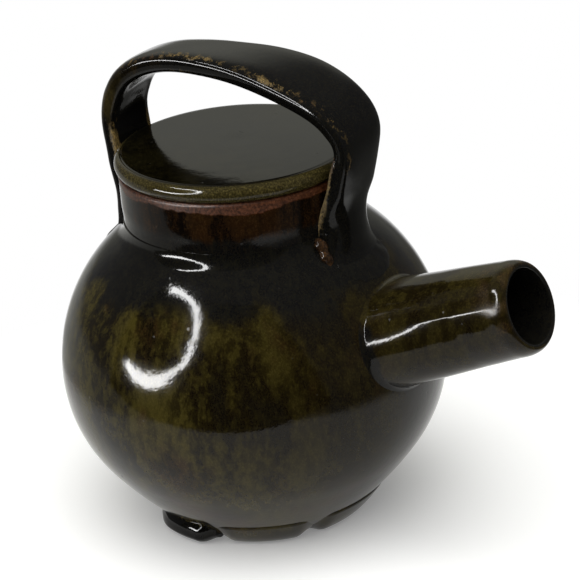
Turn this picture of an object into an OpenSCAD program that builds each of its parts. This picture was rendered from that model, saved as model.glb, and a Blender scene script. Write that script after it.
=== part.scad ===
// Stoneware teapot: thrown globe, straight neck, loose flat lid, overhead strap handle, tube spout
// and a foot ring cut into lobes.
// Millimetres. Origin on the pot's axis at the plane it stands on, +Z up, +X towards the spout.

/* [Globe] */
// Largest radius of the globe
belly_r = 80; // [72:1:88]
// Height of the widest line above the table
belly_z = 67.5; // [62:0.5:74]
// Radius of the arc from the widest line up to the shoulder
shoulder_arc_r = 72.5; // [69:0.5:76]
// Radius of the arc just below the widest line
belly_arc_r = 60; // [54:1:66]
// Angle that the lower belly arc sweeps
belly_arc_angle = 36; // [30:1:40]
// Radius of the flatter arc that runs down to the base
base_arc_r = 160; // [130:5:200]
// Thickness of the thrown wall
wall_t = 5; // [3.5:0.5:6.5]
// Thickness of the floor
floor_t = 7; // [4:0.5:10]

/* [Neck] */
// Outer radius of the neck
neck_r = 48.3; // [45:0.1:50]
// Height of the straight neck above the shoulder curve
neck_h = 21; // [14:0.5:28]
// Radius of the hollow curve between shoulder and neck
neck_cove_r = 9; // [5:0.5:12]
// Rounding of the two edges of the neck's rim
rim_round = 1.4; // [0.5:0.1:2]

/* [Lid] */
// Outer radius of the lid
lid_r = 49.5; // [48.5:0.1:52]
// Thickness of the lid, whose rim is a full round
lid_t = 7.2; // [5:0.1:9]
// Depth of the ring under the lid
flange_depth = 8; // [5:0.5:10]
// Wall of the ring under the lid
flange_t = 4; // [3:0.5:6]
// Radial play of the ring in the neck
flange_play = 1; // [0.5:0.1:2]

/* [Handle] */
// Width of the strap
strap_w = 27; // [20:0.5:32]
// Thickness of the strap
strap_t = 7.8; // [6:0.1:9]
// Play between the lid's rim and each leg of the handle
leg_play = 1.2; // [0.8:0.1:3]
// Height of the strap's middle line above the lid, at its crown
arch_rise = 36.3; // [32:0.1:46]
// How far the crown lies behind the pot's axis
crown_back = 8; // [0:1:15]
// How far the front leg swells outwards above the lid
front_swell = 1.6; // [0.5:0.1:4]
// Height of that swelling above the lid
front_swell_z = 9; // [6:0.5:13]
// How far the rear leg swells outwards above the lid
rear_swell = 0.2; // [0:0.1:3]
// Height of that swelling above the lid
rear_swell_z = 6; // [4:0.5:10]
// Fullness of the rear half of the arch, where 2 is an ellipse
rear_fullness = 2.5; // [2:0.1:3]
// Fullness of the front half of the arch
front_fullness = 2; // [2:0.1:2.6]
// Squareness of the strap's section, where 2 is an ellipse
strap_squareness = 3.6; // [2.4:0.1:5]
// Height of the strap's ends above the foot of the neck
leg_end_h = 2; // [1:0.5:4]
// Height above the foot of the neck up to which both legs lie against it
leg_hug_h = 8; // [5:0.5:11]
// How much wider than the strap each pad is, on either side
pad_spread = 3; // [1:0.5:6]
// Length of each pad down the slope of the shoulder
pad_l = 24; // [18:1:32]
// Thickness of each pad, half of it above the shoulder
pad_t = 6; // [4:0.5:9]
// Distance from the strap's middle to the middle of each pad, away from the neck
pad_out = 3.5; // [1:0.5:6]

/* [Spout] */
// Rise of the spout's axis above the horizontal
spout_angle = 20; // [12:1:28]
// Distance of the spout's mouth from the pot's axis
mouth_x = 131.5; // [118:0.5:145]
// Height of the mouth's centre above the widest line of the globe
mouth_rise = 43.5; // [36:0.5:48]
// Outer radius of the spout at its mouth
mouth_r = 18.3; // [15:0.1:21]
// Outer radius of the spout where it leaves the globe
root_r = 20.7; // [18:0.1:24]
// Wall of the spout
spout_wall = 3.8; // [3:0.1:5]
// Radius of the hollow curve at the root of the spout
root_cove_r = 5.5; // [2:0.5:7]
// Depth by which the rim of that curve is bedded in the globe
root_bed = 0.9; // [0.6:0.1:1.5]
// Diameter of each strainer hole in the globe's wall
strainer_d = 6; // [4:0.5:7]
// Radius of the ring of strainer holes
strainer_ring_r = 10; // [8:0.5:12]
// Holes in that ring, besides the one in the middle
strainer_count = 6; // [4:1:6]

/* [Foot] */
// Height of the foot ring
foot_h = 7.5; // [5:0.5:10]
// How far the foot ring stands out past the globe's base
foot_proud = 0.7; // [0:0.1:2]
// Radial width of the foot ring
foot_w = 13; // [9:0.5:16]
// Number of lobes that the ring is cut into
foot_count = 7; // [4:1:9]
// Gap between neighbouring lobes
foot_gap = 2.4; // [1.5:0.1:4]
// Radius of the scoop that rounds the lobes at each gap
foot_scoop_r = 5; // [3:0.5:6]
// Direction of the first gap, turned from the spout
foot_turn = 276; // [0:1:359]
// Rounding of the outer bottom edge of each lobe
foot_round = 2; // [1:0.5:3]

/* [Joints] */
// Thickness of the slip between pieces that are stuck together on a curved face
slip_t = 0.15; // [0.1:0.05:0.4]

/* [Hidden] */
$fn = 96;

glaze = [0.11, 0.10, 0.07];
glaze_olive = [0.20, 0.18, 0.08];
bare_clay = [0.36, 0.20, 0.14];

// Centres of the globe's arcs in the half section, as distance from the axis
shoulder_c = belly_r - shoulder_arc_r;
belly_c = belly_r - belly_arc_r;
base_c = belly_c + (belly_arc_r - base_arc_r) * cos(belly_arc_angle);
base_cz = belly_z - (belly_arc_r - base_arc_r) * sin(belly_arc_angle);

// The hollow curve at the neck touches the shoulder arc and the neck's wall
cove_c = neck_r + neck_cove_r;
cove_dist = shoulder_arc_r + neck_cove_r;
neck_z = belly_z + sqrt(pow(cove_dist, 2) - pow(cove_c - shoulder_c, 2));
rim_z = neck_z + neck_h;
lid_top_z = rim_z + lid_t;
neck_bore_r = neck_r - wall_t;
flange_r = neck_bore_r - flange_play;

// Middle line of the handle's legs, beside the neck and beside the lid
leg_neck_x = neck_r + slip_t + strap_t / 2;
leg_lid_x = lid_r + leg_play + strap_t / 2;
leg_end_z = neck_z + leg_end_h;
leg_hug_z = neck_z + leg_hug_h;
lid_mid_z = rim_z + lid_t / 2;
crown_z = lid_top_z + arch_rise;
leg_steps = 12;
arch_steps = 14;
section_sides = 24;

// The spout's axis meets the globe where it crosses the shoulder arc
mouth_z = belly_z + mouth_rise;
mouth_along = (mouth_x - shoulder_c) * cos(spout_angle) + mouth_rise * sin(spout_angle);
mouth_aside = (mouth_x - shoulder_c) * sin(spout_angle) - mouth_rise * cos(spout_angle);
mouth_to_globe = mouth_along - sqrt(pow(shoulder_arc_r, 2) - pow(mouth_aside, 2));
// The globe falls away from that crossing by this much at the rim of the root's hollow curve
root_fall = shoulder_arc_r - sqrt(pow(shoulder_arc_r, 2) - pow(root_r + root_cove_r, 2));
// Height of that rim above the hidden lower end of the tube, which is trimmed off by the globe
root_at = wall_t;
spout_l = mouth_to_globe + root_fall + root_bed + root_at;
spout_lip_r = spout_wall / 2;
spout_taper = (root_r - mouth_r) / mouth_to_globe;
// Outer radius of the tube at its hidden lower end
spout_end_r = mouth_r + spout_taper * spout_l;
// Centre of the root's hollow curve, up from the lower end and out from the spout's axis
root_cove_z = root_at + root_cove_r;
root_cove_x = mouth_r + spout_taper * (spout_l - root_cove_z) + root_cove_r;

foot_pitch = 360 / foot_count;
// Radius of the globe's flat base, and of the foot ring under it
base_r = base_c + sqrt(pow(base_arc_r, 2) - pow(base_cz - foot_h, 2));
foot_r = base_r + foot_proud;
big = 4 * belly_r;

// Level at which the lower belly arc meets the base arc, on an outline grown by a skin
function base_join_z(grow) = belly_z - (belly_arc_r + grow) * sin(belly_arc_angle);

// Point at which the shoulder arc meets the hollow curve of the neck
function cove_start(grow) =
    [shoulder_c, belly_z] + [cove_c - shoulder_c, neck_z - belly_z] * (shoulder_arc_r + grow) / cove_dist;

// Part of a round outline between two levels, from the axis outwards
module arc_slab(centre_x, centre_z, r, z0, z1) {
    intersection() {
        translate([centre_x, centre_z]) circle(r);
        translate([0, z0]) square([big, z1 - z0]);
    }
}

// Half section of the whole globe up to the foot of the neck, grown by a skin of that thickness
module globe_outline(grow, bottom_z) {
    arc_slab(base_c, base_cz, base_arc_r + grow, bottom_z, base_join_z(grow));
    arc_slab(belly_c, belly_z, belly_arc_r + grow, base_join_z(grow), belly_z);
    arc_slab(shoulder_c, belly_z, shoulder_arc_r + grow, belly_z, neck_z);
    translate([0, belly_z]) square([neck_r + grow, neck_z - belly_z]);
    difference() {
        polygon([cove_start(grow), [cove_c, neck_z], [neck_r + grow, neck_z], [neck_r + grow, belly_z]]);
        translate([cove_c, neck_z]) circle(neck_cove_r - grow);
    }
}

// Closed solid of the globe and neck with a skin of slip, to trim what is stuck on it
module pot_with_slip() {
    rotate_extrude() globe_outline(slip_t, foot_h);
    translate([0, 0, neck_z - slip_t]) cylinder(r = neck_r + slip_t, h = neck_h + 2 * slip_t);
}

// Moves a shape drawn upwards along Z onto the spout's axis, with its top at the mouth
module on_spout_axis() {
    translate([mouth_x, 0, mouth_z])
        rotate([0, 90 - spout_angle, 0])
            translate([0, 0, -spout_l]) children();
}

module strainer_holes() {
    on_spout_axis()
        translate([0, 0, -wall_t]) {
            cylinder(d = strainer_d, h = spout_l);
            for (i = [0 : strainer_count - 1])
                rotate(i * 360 / strainer_count)
                    translate([strainer_ring_r, 0])
                        cylinder(d = strainer_d, h = spout_l);
        }
}

module body_globe() {
    color(glaze_olive)
        difference() {
            rotate_extrude()
                difference() {
                    globe_outline(0, foot_h);
                    globe_outline(-wall_t, foot_h + floor_t);
                }
            strainer_holes();
        }
}

module neck_collar() {
    color(bare_clay)
        rotate_extrude()
            difference() {
                translate([neck_bore_r, neck_z]) square([wall_t, neck_h]);
                rim_corner(neck_bore_r, 1);
                rim_corner(neck_r, -1);
            }
}

// Waste at one edge of the rim, side 1 towards the axis and -1 away from it
module rim_corner(edge_x, side) {
    difference() {
        translate([edge_x + side * rim_round / 2, rim_z]) square(rim_round * [1, 2], center = true);
        translate([edge_x + side * rim_round, rim_z - rim_round]) circle(rim_round);
    }
}

// Half section of the spout's taper below its lip, filled to its axis and grown by a skin of that thickness
module taper_section(grow) {
    polygon([
        [0, 0],
        [spout_end_r + grow, 0],
        [mouth_r + grow, spout_l - spout_lip_r],
        [0, spout_l - spout_lip_r]]);
}

// Half section of the flare at the spout's root, grown by a skin of that thickness
module root_flare_section(grow) {
    difference() {
        translate([spout_end_r - spout_lip_r, 0])
            square([root_cove_x - spout_end_r + spout_lip_r, root_cove_z]);
        translate([root_cove_x, root_cove_z]) circle(root_cove_r - grow);
    }
}

// Half section of the spout, root below and rounded lip on top
module spout_section() {
    difference() {
        taper_section(0);
        taper_section(-spout_wall);
    }
    translate([mouth_r - spout_lip_r, spout_l - spout_lip_r]) circle(spout_lip_r);
    root_flare_section(0);
}

// Closed solid of the spout with a skin of slip, to trim what is pressed against it
module spout_with_slip() {
    on_spout_axis()
        rotate_extrude() {
            taper_section(slip_t);
            root_flare_section(slip_t);
        }
}

module spout_tube() {
    color(glaze_olive)
        difference() {
            on_spout_axis() rotate_extrude() spout_section();
            pot_with_slip();
        }
}

// Share of a leg's lean that is reached at a level, eased in from the neck and out at its swelling
function lean(z, high_z) = (1 - cos(180 * max(0, z - leg_hug_z) / (high_z - leg_hug_z))) / 2;

// Distance of a leg's swelling from the axis, so that the leg clears the lid's rim
function swell_x(swell, high_z) = leg_neck_x + (leg_lid_x - leg_neck_x) / lean(lid_mid_z, high_z) + swell;

// Points of one leg, from its end up to its swelling
function leg_points(side, high_x, high_z) = [
    for (i = [0 : leg_steps])
        let (z = leg_end_z + (high_z - leg_end_z) * i / leg_steps)
        [side * (leg_neck_x + (high_x - leg_neck_x) * lean(z, high_z)), z]];

// Points of half the arch, from a leg's swelling to the crown
function arch_points(side, high_x, high_z, fullness) = [
    for (i = [1 : arch_steps])
        let (t = 90 * i / arch_steps, reach = high_x + side * crown_back)
        [side * (high_x - reach + reach * pow(cos(t), 2 / fullness)),
         high_z + (crown_z - high_z) * pow(sin(t), 2 / fullness)]];

function reversed(list) = [for (i = [len(list) - 1 : -1 : 0]) list[i]];

// Half of the strap's middle line, from one end to the crown
function half_line(side, swell, high_z, fullness) =
    let (high_x = swell_x(swell, high_z))
    concat(leg_points(side, high_x, high_z), arch_points(side, high_x, high_z, fullness));

// Middle line of the strap from the rear end over the crown to the front end, as X and Z
rear_half = half_line(-1, rear_swell, lid_top_z + rear_swell_z, rear_fullness);
front_half = half_line(1, front_swell, lid_top_z + front_swell_z, front_fullness);
strap_line = concat(rear_half, [for (i = [1 : len(front_half) - 1]) reversed(front_half)[i]]);

// Direction of the middle line at a point, upright at both ends
function strap_dir(i) =
    i == 0 ? [0, 1] :
    i == len(strap_line) - 1 ? [0, -1] :
    let (d = strap_line[i + 1] - strap_line[i - 1]) d / norm(d);

function signed_power(v, p) = sign(v) * pow(abs(v), p);

// Rounded section of the strap as width and thickness offsets
strap_section = [
    for (k = [0 : section_sides - 1])
        let (a = 360 * k / section_sides, p = 2 / strap_squareness)
        [strap_w / 2 * signed_power(cos(a), p), strap_t / 2 * signed_power(sin(a), p)]];

function strap_ring(i) =
    let (c = strap_line[i], d = strap_dir(i))
    [for (q = strap_section) [c[0] - d[1] * q[1], q[0], c[1] + d[0] * q[1]]];

module handle_strap() {
    n = section_sides;
    last = len(strap_line) - 1;
    rings = [for (i = [0 : last]) each strap_ring(i)];
    sides = [
        for (i = [0 : last - 1], k = [0 : n - 1])
            let (a = i * n + k, b = i * n + (k + 1) % n)
            each [[a, b, a + n], [b, b + n, a + n]]];
    color(glaze)
        polyhedron(points = rings, faces = concat(
            sides,
            [[for (k = [n - 1 : -1 : 0]) k]],
            [[for (k = [0 : n - 1]) last * n + k]]));
}

// Wad of clay under one end of the strap, spread out over the shoulder as far as the spout's root
module handle_pad(side) {
    slope = acos((leg_neck_x + pad_out - shoulder_c) / shoulder_arc_r);
    color(glaze)
        difference() {
            hull() {
                translate([side * leg_neck_x, 0, leg_end_z - slip_t])
                    linear_extrude(slip_t)
                        polygon([for (q = strap_section) [q[1], q[0]]]);
                mirror([side < 0 ? 1 : 0, 0, 0])
                    translate([shoulder_c, 0, belly_z])
                        rotate([0, 90 - slope, 0])
                            translate([0, 0, shoulder_arc_r])
                                resize([pad_l, strap_w + 2 * pad_spread, pad_t])
                                    sphere(d = pad_l, $fn = 32);
            }
            pot_with_slip();
            spout_with_slip();
        }
}

module handle_front_pad() {
    handle_pad(1);
}

module handle_rear_pad() {
    handle_pad(-1);
}

module lid_disc() {
    color(glaze_olive)
        translate([0, 0, rim_z])
            rotate_extrude() {
                square([lid_r - lid_t / 2, lid_t]);
                intersection() {
                    translate([lid_r - lid_t / 2, lid_t / 2]) circle(lid_t / 2);
                    square([lid_r, lid_t]);
                }
            }
}

module lid_flange() {
    color(bare_clay)
        translate([0, 0, rim_z - flange_depth])
            rotate_extrude()
                translate([flange_r - flange_t, 0]) square([flange_t, flange_depth]);
}

// One lobe of the foot ring, rounded below and scooped at both ends
module foot(i) {
    gap_angle = foot_turn + (i - 1) * foot_pitch;
    half_gap = asin(foot_gap / 2 / foot_r);
    color(glaze)
        difference() {
            rotate(gap_angle + half_gap)
                rotate_extrude(angle = foot_pitch - 2 * half_gap) foot_section();
            for (a = [gap_angle, gap_angle + foot_pitch])
                rotate(a)
                    translate([foot_r + foot_scoop_r / 2, 0, -foot_h])
                        cylinder(r = foot_scoop_r, h = 3 * foot_h);
        }
}

module foot_section() {
    translate([foot_r - foot_w, 0]) square([foot_w - foot_round, foot_h]);
    translate([foot_r - foot_round, foot_round]) square([foot_round, foot_h - foot_round]);
    intersection() {
        translate([foot_r - foot_round, foot_round]) circle(foot_round);
        square([foot_r, foot_round]);
    }
}

body_globe();
neck_collar();
spout_tube();
handle_strap();
handle_front_pad();
handle_rear_pad();
lid_disc();
lid_flange();
for (i = [1 : foot_count])
    foot(i);
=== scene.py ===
"""Stoneware teapot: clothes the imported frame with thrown, pulled and glazed meshes."""
import logging
import math
from dataclasses import dataclass, field
from enum import Enum
from typing import Callable

import bmesh
import bpy
from bmesh.types import BMEdge, BMesh, BMVert
from bpy.types import Material, Mesh, NodeSocket, Object, ShaderNodeTree
from mathutils import Matrix, Vector, noise


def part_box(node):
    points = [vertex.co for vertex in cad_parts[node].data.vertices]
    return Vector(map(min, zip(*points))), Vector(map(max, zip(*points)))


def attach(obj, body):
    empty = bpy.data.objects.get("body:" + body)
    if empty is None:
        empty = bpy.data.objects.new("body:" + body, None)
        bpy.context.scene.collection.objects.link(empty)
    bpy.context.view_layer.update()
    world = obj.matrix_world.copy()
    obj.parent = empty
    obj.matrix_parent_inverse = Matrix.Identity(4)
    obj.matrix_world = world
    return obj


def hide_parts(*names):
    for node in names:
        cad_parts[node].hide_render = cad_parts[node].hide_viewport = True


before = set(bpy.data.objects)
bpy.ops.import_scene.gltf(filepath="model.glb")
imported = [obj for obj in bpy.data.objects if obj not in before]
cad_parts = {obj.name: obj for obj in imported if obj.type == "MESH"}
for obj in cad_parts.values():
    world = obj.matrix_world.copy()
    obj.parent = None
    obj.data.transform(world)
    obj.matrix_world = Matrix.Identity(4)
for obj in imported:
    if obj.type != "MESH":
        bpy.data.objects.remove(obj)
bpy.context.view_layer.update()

MM = 0.001
SOFT_ANGLE = math.radians(40)
ROUND_STEPS = 192
WALL = 5.0 * MM
NECK_TUCK = 0.5 * MM
WELD = 0.002 * MM
LEAST_R = 1.0 * MM
Colour = tuple[float, float, float]
Pair = tuple[float, float]
log = logging.getLogger("teapot")


class Body(Enum):
    """Bodies of the frame that a piece can ride on."""

    POT = "pot"
    LID = "lid"


class Mask(Enum):
    """Attributes that say where a glaze changes, from 0 to 1 at each point."""

    EDGE = "edge_break"
    # Thick dark glaze. On some pieces it also carries painted shade (inside the globe and the spout, under
    # the spout's root) and a painted reflection (the black foot lobe).
    DARK = "dark_glaze_and_painted_shade"


class End(Enum):
    """Ends of the handle, as the side of the pot's axis that they stand on."""

    FRONT = 1
    REAR = -1


def smooth_step(low: float, high: float, value: float) -> float:
    """Eased share, from 0 at low to 1 at high."""
    share = min(1.0, max(0.0, (value - low) / (high - low)))
    return share * share * (3 - 2 * share)


@dataclass(frozen=True)
class Fade:
    """Two limits between which something fades in, or out where the first is the higher one."""

    start: float
    full: float

    def at(self, value: float) -> float:
        """Eased share at a value, from 0 at the start to 1 where it is full."""
        return smooth_step(self.start, self.full, value)


def fade_mm(start: float, full: float) -> Fade:
    """Fade between two limits in millimetres."""
    return Fade(start * MM, full * MM)


def top_radius(node: str) -> float:
    """Largest radius of a CAD node that is turned about the pot's axis."""
    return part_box(node)[1].y


class Lathe:
    """Half section drawn in the XZ plane with lines and arcs, and then turned about Z."""

    def __init__(self, r: float, z: float) -> None:
        """Starts the section at a radius and a level."""
        self.bm: BMesh = bmesh.new()
        self.first: BMVert = self.bm.verts.new((r, 0, z))
        self.tip: BMVert = self.first

    def line_to(self, r: float, z: float, cuts: int = 0) -> None:
        """Draws a straight line from the tip, with that many points along it."""
        start, end = self.tip.co.copy(), Vector((r, 0, z))
        for k in range(1, cuts + 2):
            self.tip = bmesh.ops.extrude_vert_indiv(self.bm, verts=[self.tip])["verts"][0]
            self.tip.co = start.lerp(end, k / (cuts + 1))

    def arc(self, centre: Pair, sweep: float, steps: int) -> None:
        """Draws an arc from the tip about a centre, turning from +X towards +Z for a sweep above 0."""
        turned = bmesh.ops.spin(
            self.bm, geom=[self.tip], cent=(centre[0], 0, centre[1]), axis=(0, -1, 0),
            angle=sweep, steps=steps, use_merge=False)
        self.tip = next(v for v in turned["geom_last"] if isinstance(v, BMVert))

    def bow(self, centre: Pair, radii: Pair, start: float, end: float, steps: int) -> None:
        """Draws part of an ellipse between two angles, counted from +X towards +Z."""
        for k in range(1, steps + 1):
            t = start + (end - start) * k / steps
            self.line_to(centre[0] + radii[0] * math.cos(t), centre[1] + radii[1] * math.sin(t))

    def close(self) -> None:
        """Joins the tip to the start of the section."""
        self.bm.edges.new((self.tip, self.first))

    def turn(self, steps: int) -> BMesh:
        """Turns the section through a full circle.

        Args:
            steps: Number of segments round the axis.

        Returns:
            The closed mesh, with its faces pointing outwards.
        """
        bmesh.ops.spin(
            self.bm, geom=self.bm.verts[:] + self.bm.edges[:], cent=(0, 0, 0), axis=(0, 0, 1),
            angle=math.tau, steps=steps, use_merge=True)
        bmesh.ops.remove_doubles(self.bm, verts=self.bm.verts[:], dist=WELD)
        bmesh.ops.recalc_face_normals(self.bm, faces=self.bm.faces[:])
        return self.bm


def new_piece(name: str, bm: BMesh) -> Object:
    """Turns a finished bmesh into a smooth object of the scene.

    Args:
        name: Name of the piece.
        bm: Mesh of the piece, in the frame's own coordinates, which is freed here.

    Returns:
        The new object, at the origin.
    """
    mesh: Mesh = bpy.data.meshes.new(name)
    bm.to_mesh(mesh)
    bm.free()
    soften(mesh)
    piece = bpy.data.objects.new(name, mesh)
    bpy.context.scene.collection.objects.link(piece)
    return piece


def soften(mesh: Mesh) -> None:
    """Shades a mesh smooth, but for its hard edges."""
    mesh.shade_smooth()
    mesh.set_sharp_from_angle(angle=SOFT_ANGLE)


def settle(piece: Object) -> None:
    """Applies the modifiers of a piece to its mesh."""
    graph = bpy.context.evaluated_depsgraph_get()
    mesh = bpy.data.meshes.new_from_object(piece.evaluated_get(graph))
    piece.modifiers.clear()
    piece.data = mesh
    soften(mesh)


def paint(piece: Object, mask: Mask, rule: Callable[[Vector], float]) -> None:
    """Writes a mask at each point of a piece, from 0 to 1."""
    mesh = piece.data
    layer = mesh.attributes.get(mask.value) or mesh.attributes.new(mask.value, "FLOAT", "POINT")
    layer.data.foreach_set("value", [rule(v.co) for v in mesh.vertices])


def place(piece: Object, body: Body, slot: str, finish: Material, *nodes: str) -> Object:
    """Dresses a piece and puts it in the place of its CAD nodes.

    Args:
        piece: The new piece.
        body: Body that it rides on.
        slot: Material slot of the record; not used.
        finish: Material of the whole piece.
        nodes: CAD nodes that it stands for.

    Returns:
        The same piece.
    """
    piece.data.materials.clear()
    piece.data.materials.append(finish)
    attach(piece, body.value)
    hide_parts(*nodes)
    log.info("%s: %d faces, rides on %s", piece.name, len(piece.data.polygons), body.value)
    return piece


class NodeDesk:
    """Short calls for the nodes of one shader tree."""

    def __init__(self, tree: ShaderNodeTree) -> None:
        """Works on an empty or started tree."""
        self.tree = tree

    def add(self, kind: str, **settings: object) -> bpy.types.Node:
        """Adds a node and sets its properties."""
        node = self.tree.nodes.new(kind)
        for name, value in settings.items():
            setattr(node, name, value)
        return node

    def feed(self, socket: NodeSocket, value: object) -> None:
        """Links a socket, or sets its value."""
        if isinstance(value, NodeSocket):
            self.tree.links.new(value, socket)
        elif isinstance(value, tuple) and len(value) == 3 and socket.type == "RGBA":
            socket.default_value = (*value, 1.0)
        else:
            socket.default_value = value

    def calc(self, operation: str, *values: object) -> NodeSocket:
        """Maths on one to three values."""
        node = self.add("ShaderNodeMath", operation=operation)
        for socket, value in zip(node.inputs, values):
            self.feed(socket, value)
        return node.outputs[0]

    def span(self, value: NodeSocket, low: float, high: float, smooth: bool = True) -> NodeSocket:
        """Share of a value between two limits, clamped to 0 and 1."""
        node = self.add("ShaderNodeMapRange", interpolation_type="SMOOTHSTEP" if smooth else "LINEAR")
        for name, item in (("Value", value), ("From Min", low), ("From Max", high)):
            self.feed(node.inputs[name], item)
        return node.outputs[0]

    def blend(self, share: object, first: object, second: object) -> NodeSocket:
        """Colour between two colours."""
        node = self.add("ShaderNodeMix", data_type="RGBA")
        for name, item in (("Factor_Float", share), ("A_Color", first), ("B_Color", second)):
            self.feed(next(s for s in node.inputs if s.identifier == name), item)
        return next(s for s in node.outputs if s.identifier == "Result_Color")

    def stretch(self, vector: NodeSocket, scale: Colour) -> NodeSocket:
        """Coordinates stretched along the axes."""
        node = self.add("ShaderNodeMapping")
        self.feed(node.inputs["Vector"], vector)
        node.inputs["Scale"].default_value = scale
        return node.outputs[0]

    def clouds(self, vector: NodeSocket, scale: object, detail: float, rough: float) -> NodeSocket:
        """Soft noise of a scale, in features per metre."""
        node = self.add("ShaderNodeTexNoise")
        self.feed(node.inputs["Vector"], vector)
        self.feed(node.inputs["Scale"], scale)
        node.inputs["Detail"].default_value = detail
        node.inputs["Roughness"].default_value = rough
        return node.outputs[0]

    def along(self, vector: NodeSocket, way: Colour) -> NodeSocket:
        """Length of a vector along a direction."""
        node = self.add("ShaderNodeVectorMath", operation="DOT_PRODUCT")
        self.feed(node.inputs[0], vector)
        node.inputs[1].default_value = way
        return node.outputs["Value"]

    def cells(self, vector: NodeSocket, scale: object) -> NodeSocket:
        """Distance to the nearest of scattered points."""
        node = self.add("ShaderNodeTexVoronoi")
        self.feed(node.inputs["Vector"], vector)
        self.feed(node.inputs["Scale"], scale)
        return node.outputs["Distance"]

    def spot(self) -> NodeSocket:
        """Object coordinates."""
        return self.add("ShaderNodeTexCoord").outputs["Object"]

    def mask(self, mask: Mask) -> NodeSocket:
        """Value of one of the piece's masks."""
        return self.add("ShaderNodeAttribute", attribute_name=mask.value).outputs["Fac"]

    def bump(self, height: NodeSocket, strength: float, depth: float) -> NodeSocket:
        """Normal of a skin whose height varies."""
        node = self.add("ShaderNodeBump")
        node.inputs["Strength"].default_value = strength
        node.inputs["Distance"].default_value = depth
        self.feed(node.inputs["Height"], height)
        return node.outputs["Normal"]


def new_finish(name: str) -> tuple[Material, NodeDesk, bpy.types.Node]:
    """Starts a material.

    Args:
        name: Name of the material.

    Returns:
        The material, a desk for its nodes and its shader.
    """
    material = bpy.data.materials.new(name)
    material.use_nodes = True
    tree = material.node_tree
    return material, NodeDesk(tree), tree.nodes["Principled BSDF"]


@dataclass(frozen=True)
class Cloud:
    """Soft noise: its features per metre, or the group's input that gives them, and its stretch along Z."""

    scale: float | str
    detail: float = 2.0
    rough: float = 0.5
    tall: float = 1.0

    def draw(self, desk: NodeDesk, spot: NodeSocket,
             given: bpy.types.NodeOutputs | None = None) -> NodeSocket:
        """Places the noise in a tree.

        Args:
            desk: Desk of the tree.
            spot: Object coordinates.
            given: Inputs of the node group, where one of them gives the scale.

        Returns:
            The noise, from 0 to 1.
        """
        scale = given[self.scale] if isinstance(self.scale, str) else self.scale
        vector = desk.stretch(spot, (1.0, 1.0, self.tall)) if self.tall < 1 else spot
        return desk.clouds(vector, scale, self.detail, self.rough)


class GlazeMarks:
    """Node group with the marks that every glaze of the pot shares, and the side of the pot that the glazes
    paint as lit.
    """

    NAME = "glaze_marks"
    INPUTS = {"Streak Scale": 60.0, "Speckle Scale": 1500.0, "Peel Scale": 380.0}
    MASKS = {
        "Streaks": (Cloud("Streak Scale", 5.0, 0.6, 0.14), (0.40, 0.62)),
        "Mottle": (Cloud(330.0, 4.0, 0.68, 0.55), (0.40, 0.63)),
        "Drift": (Cloud(22.0, 3.0), (0.36, 0.66)),
        "Stain": (Cloud(48.0, 3.0, 0.6, 0.45), (0.50, 0.66)),
        "Speckle": (Cloud("Speckle Scale", 2.0, 0.7, 0.7), (0.42, 0.74)),
    }
    OUTPUTS = (*MASKS, "Painted Light", "Pits", "Height")
    # Painted light: the glazes get their lit colour on the side of the pot towards this direction,
    # wandering with the drift, and painted shade on the far side.
    PAINTED_LIGHT_SIDE = (-0.84, -0.53, -0.15)
    PAINTED_LIGHT_WANDER = 0.07
    PAINTED_LIGHT_LIMITS = (-0.025, 0.075)
    PIT_SCALE = 120.0
    PIT_LIMITS = (0.09, 0.035)
    PIT_SINK = 0.4
    SKIN = ((Cloud("Peel Scale", 2.0, 0.45), 0.35), (Cloud(70.0, 1.0), 0.9), (Cloud(1000.0), 0.16))

    @classmethod
    def tree(cls) -> ShaderNodeTree:
        """Finds the group, or makes it on first use."""
        return bpy.data.node_groups.get(cls.NAME) or cls._make()

    @classmethod
    def _make(cls) -> ShaderNodeTree:
        """Builds the group.

        Returns:
            The node group, with masks from 0 to 1 and the height of the glaze's skin.
        """
        tree = bpy.data.node_groups.new(cls.NAME, "ShaderNodeTree")
        for name, value in cls.INPUTS.items():
            socket = tree.interface.new_socket(name, in_out="INPUT", socket_type="NodeSocketFloat")
            socket.default_value = value
        for name in cls.OUTPUTS:
            tree.interface.new_socket(name, in_out="OUTPUT", socket_type="NodeSocketFloat")
        desk = NodeDesk(tree)
        given = desk.add("NodeGroupInput").outputs
        made = desk.add("NodeGroupOutput").inputs
        spot = desk.spot()
        noises: dict[str, NodeSocket] = {}
        for name, (cloud, limits) in cls.MASKS.items():
            noises[name] = cloud.draw(desk, spot, given)
            desk.feed(made[name], desk.span(noises[name], *limits))
        wander = desk.calc(
            "MULTIPLY_ADD", noises["Drift"], cls.PAINTED_LIGHT_WANDER, desk.along(spot, cls.PAINTED_LIGHT_SIDE))
        desk.feed(made["Painted Light"], desk.span(wander, *cls.PAINTED_LIGHT_LIMITS))
        pits = desk.span(desk.cells(spot, cls.PIT_SCALE), *cls.PIT_LIMITS)
        desk.feed(made["Pits"], pits)
        height: object = 0.0
        for cloud, share in cls.SKIN:
            height = desk.calc("MULTIPLY_ADD", cloud.draw(desk, spot, given), share, height)
        desk.feed(made["Height"], desk.calc("MULTIPLY_ADD", pits, -cls.PIT_SINK, height))
        return tree


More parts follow.
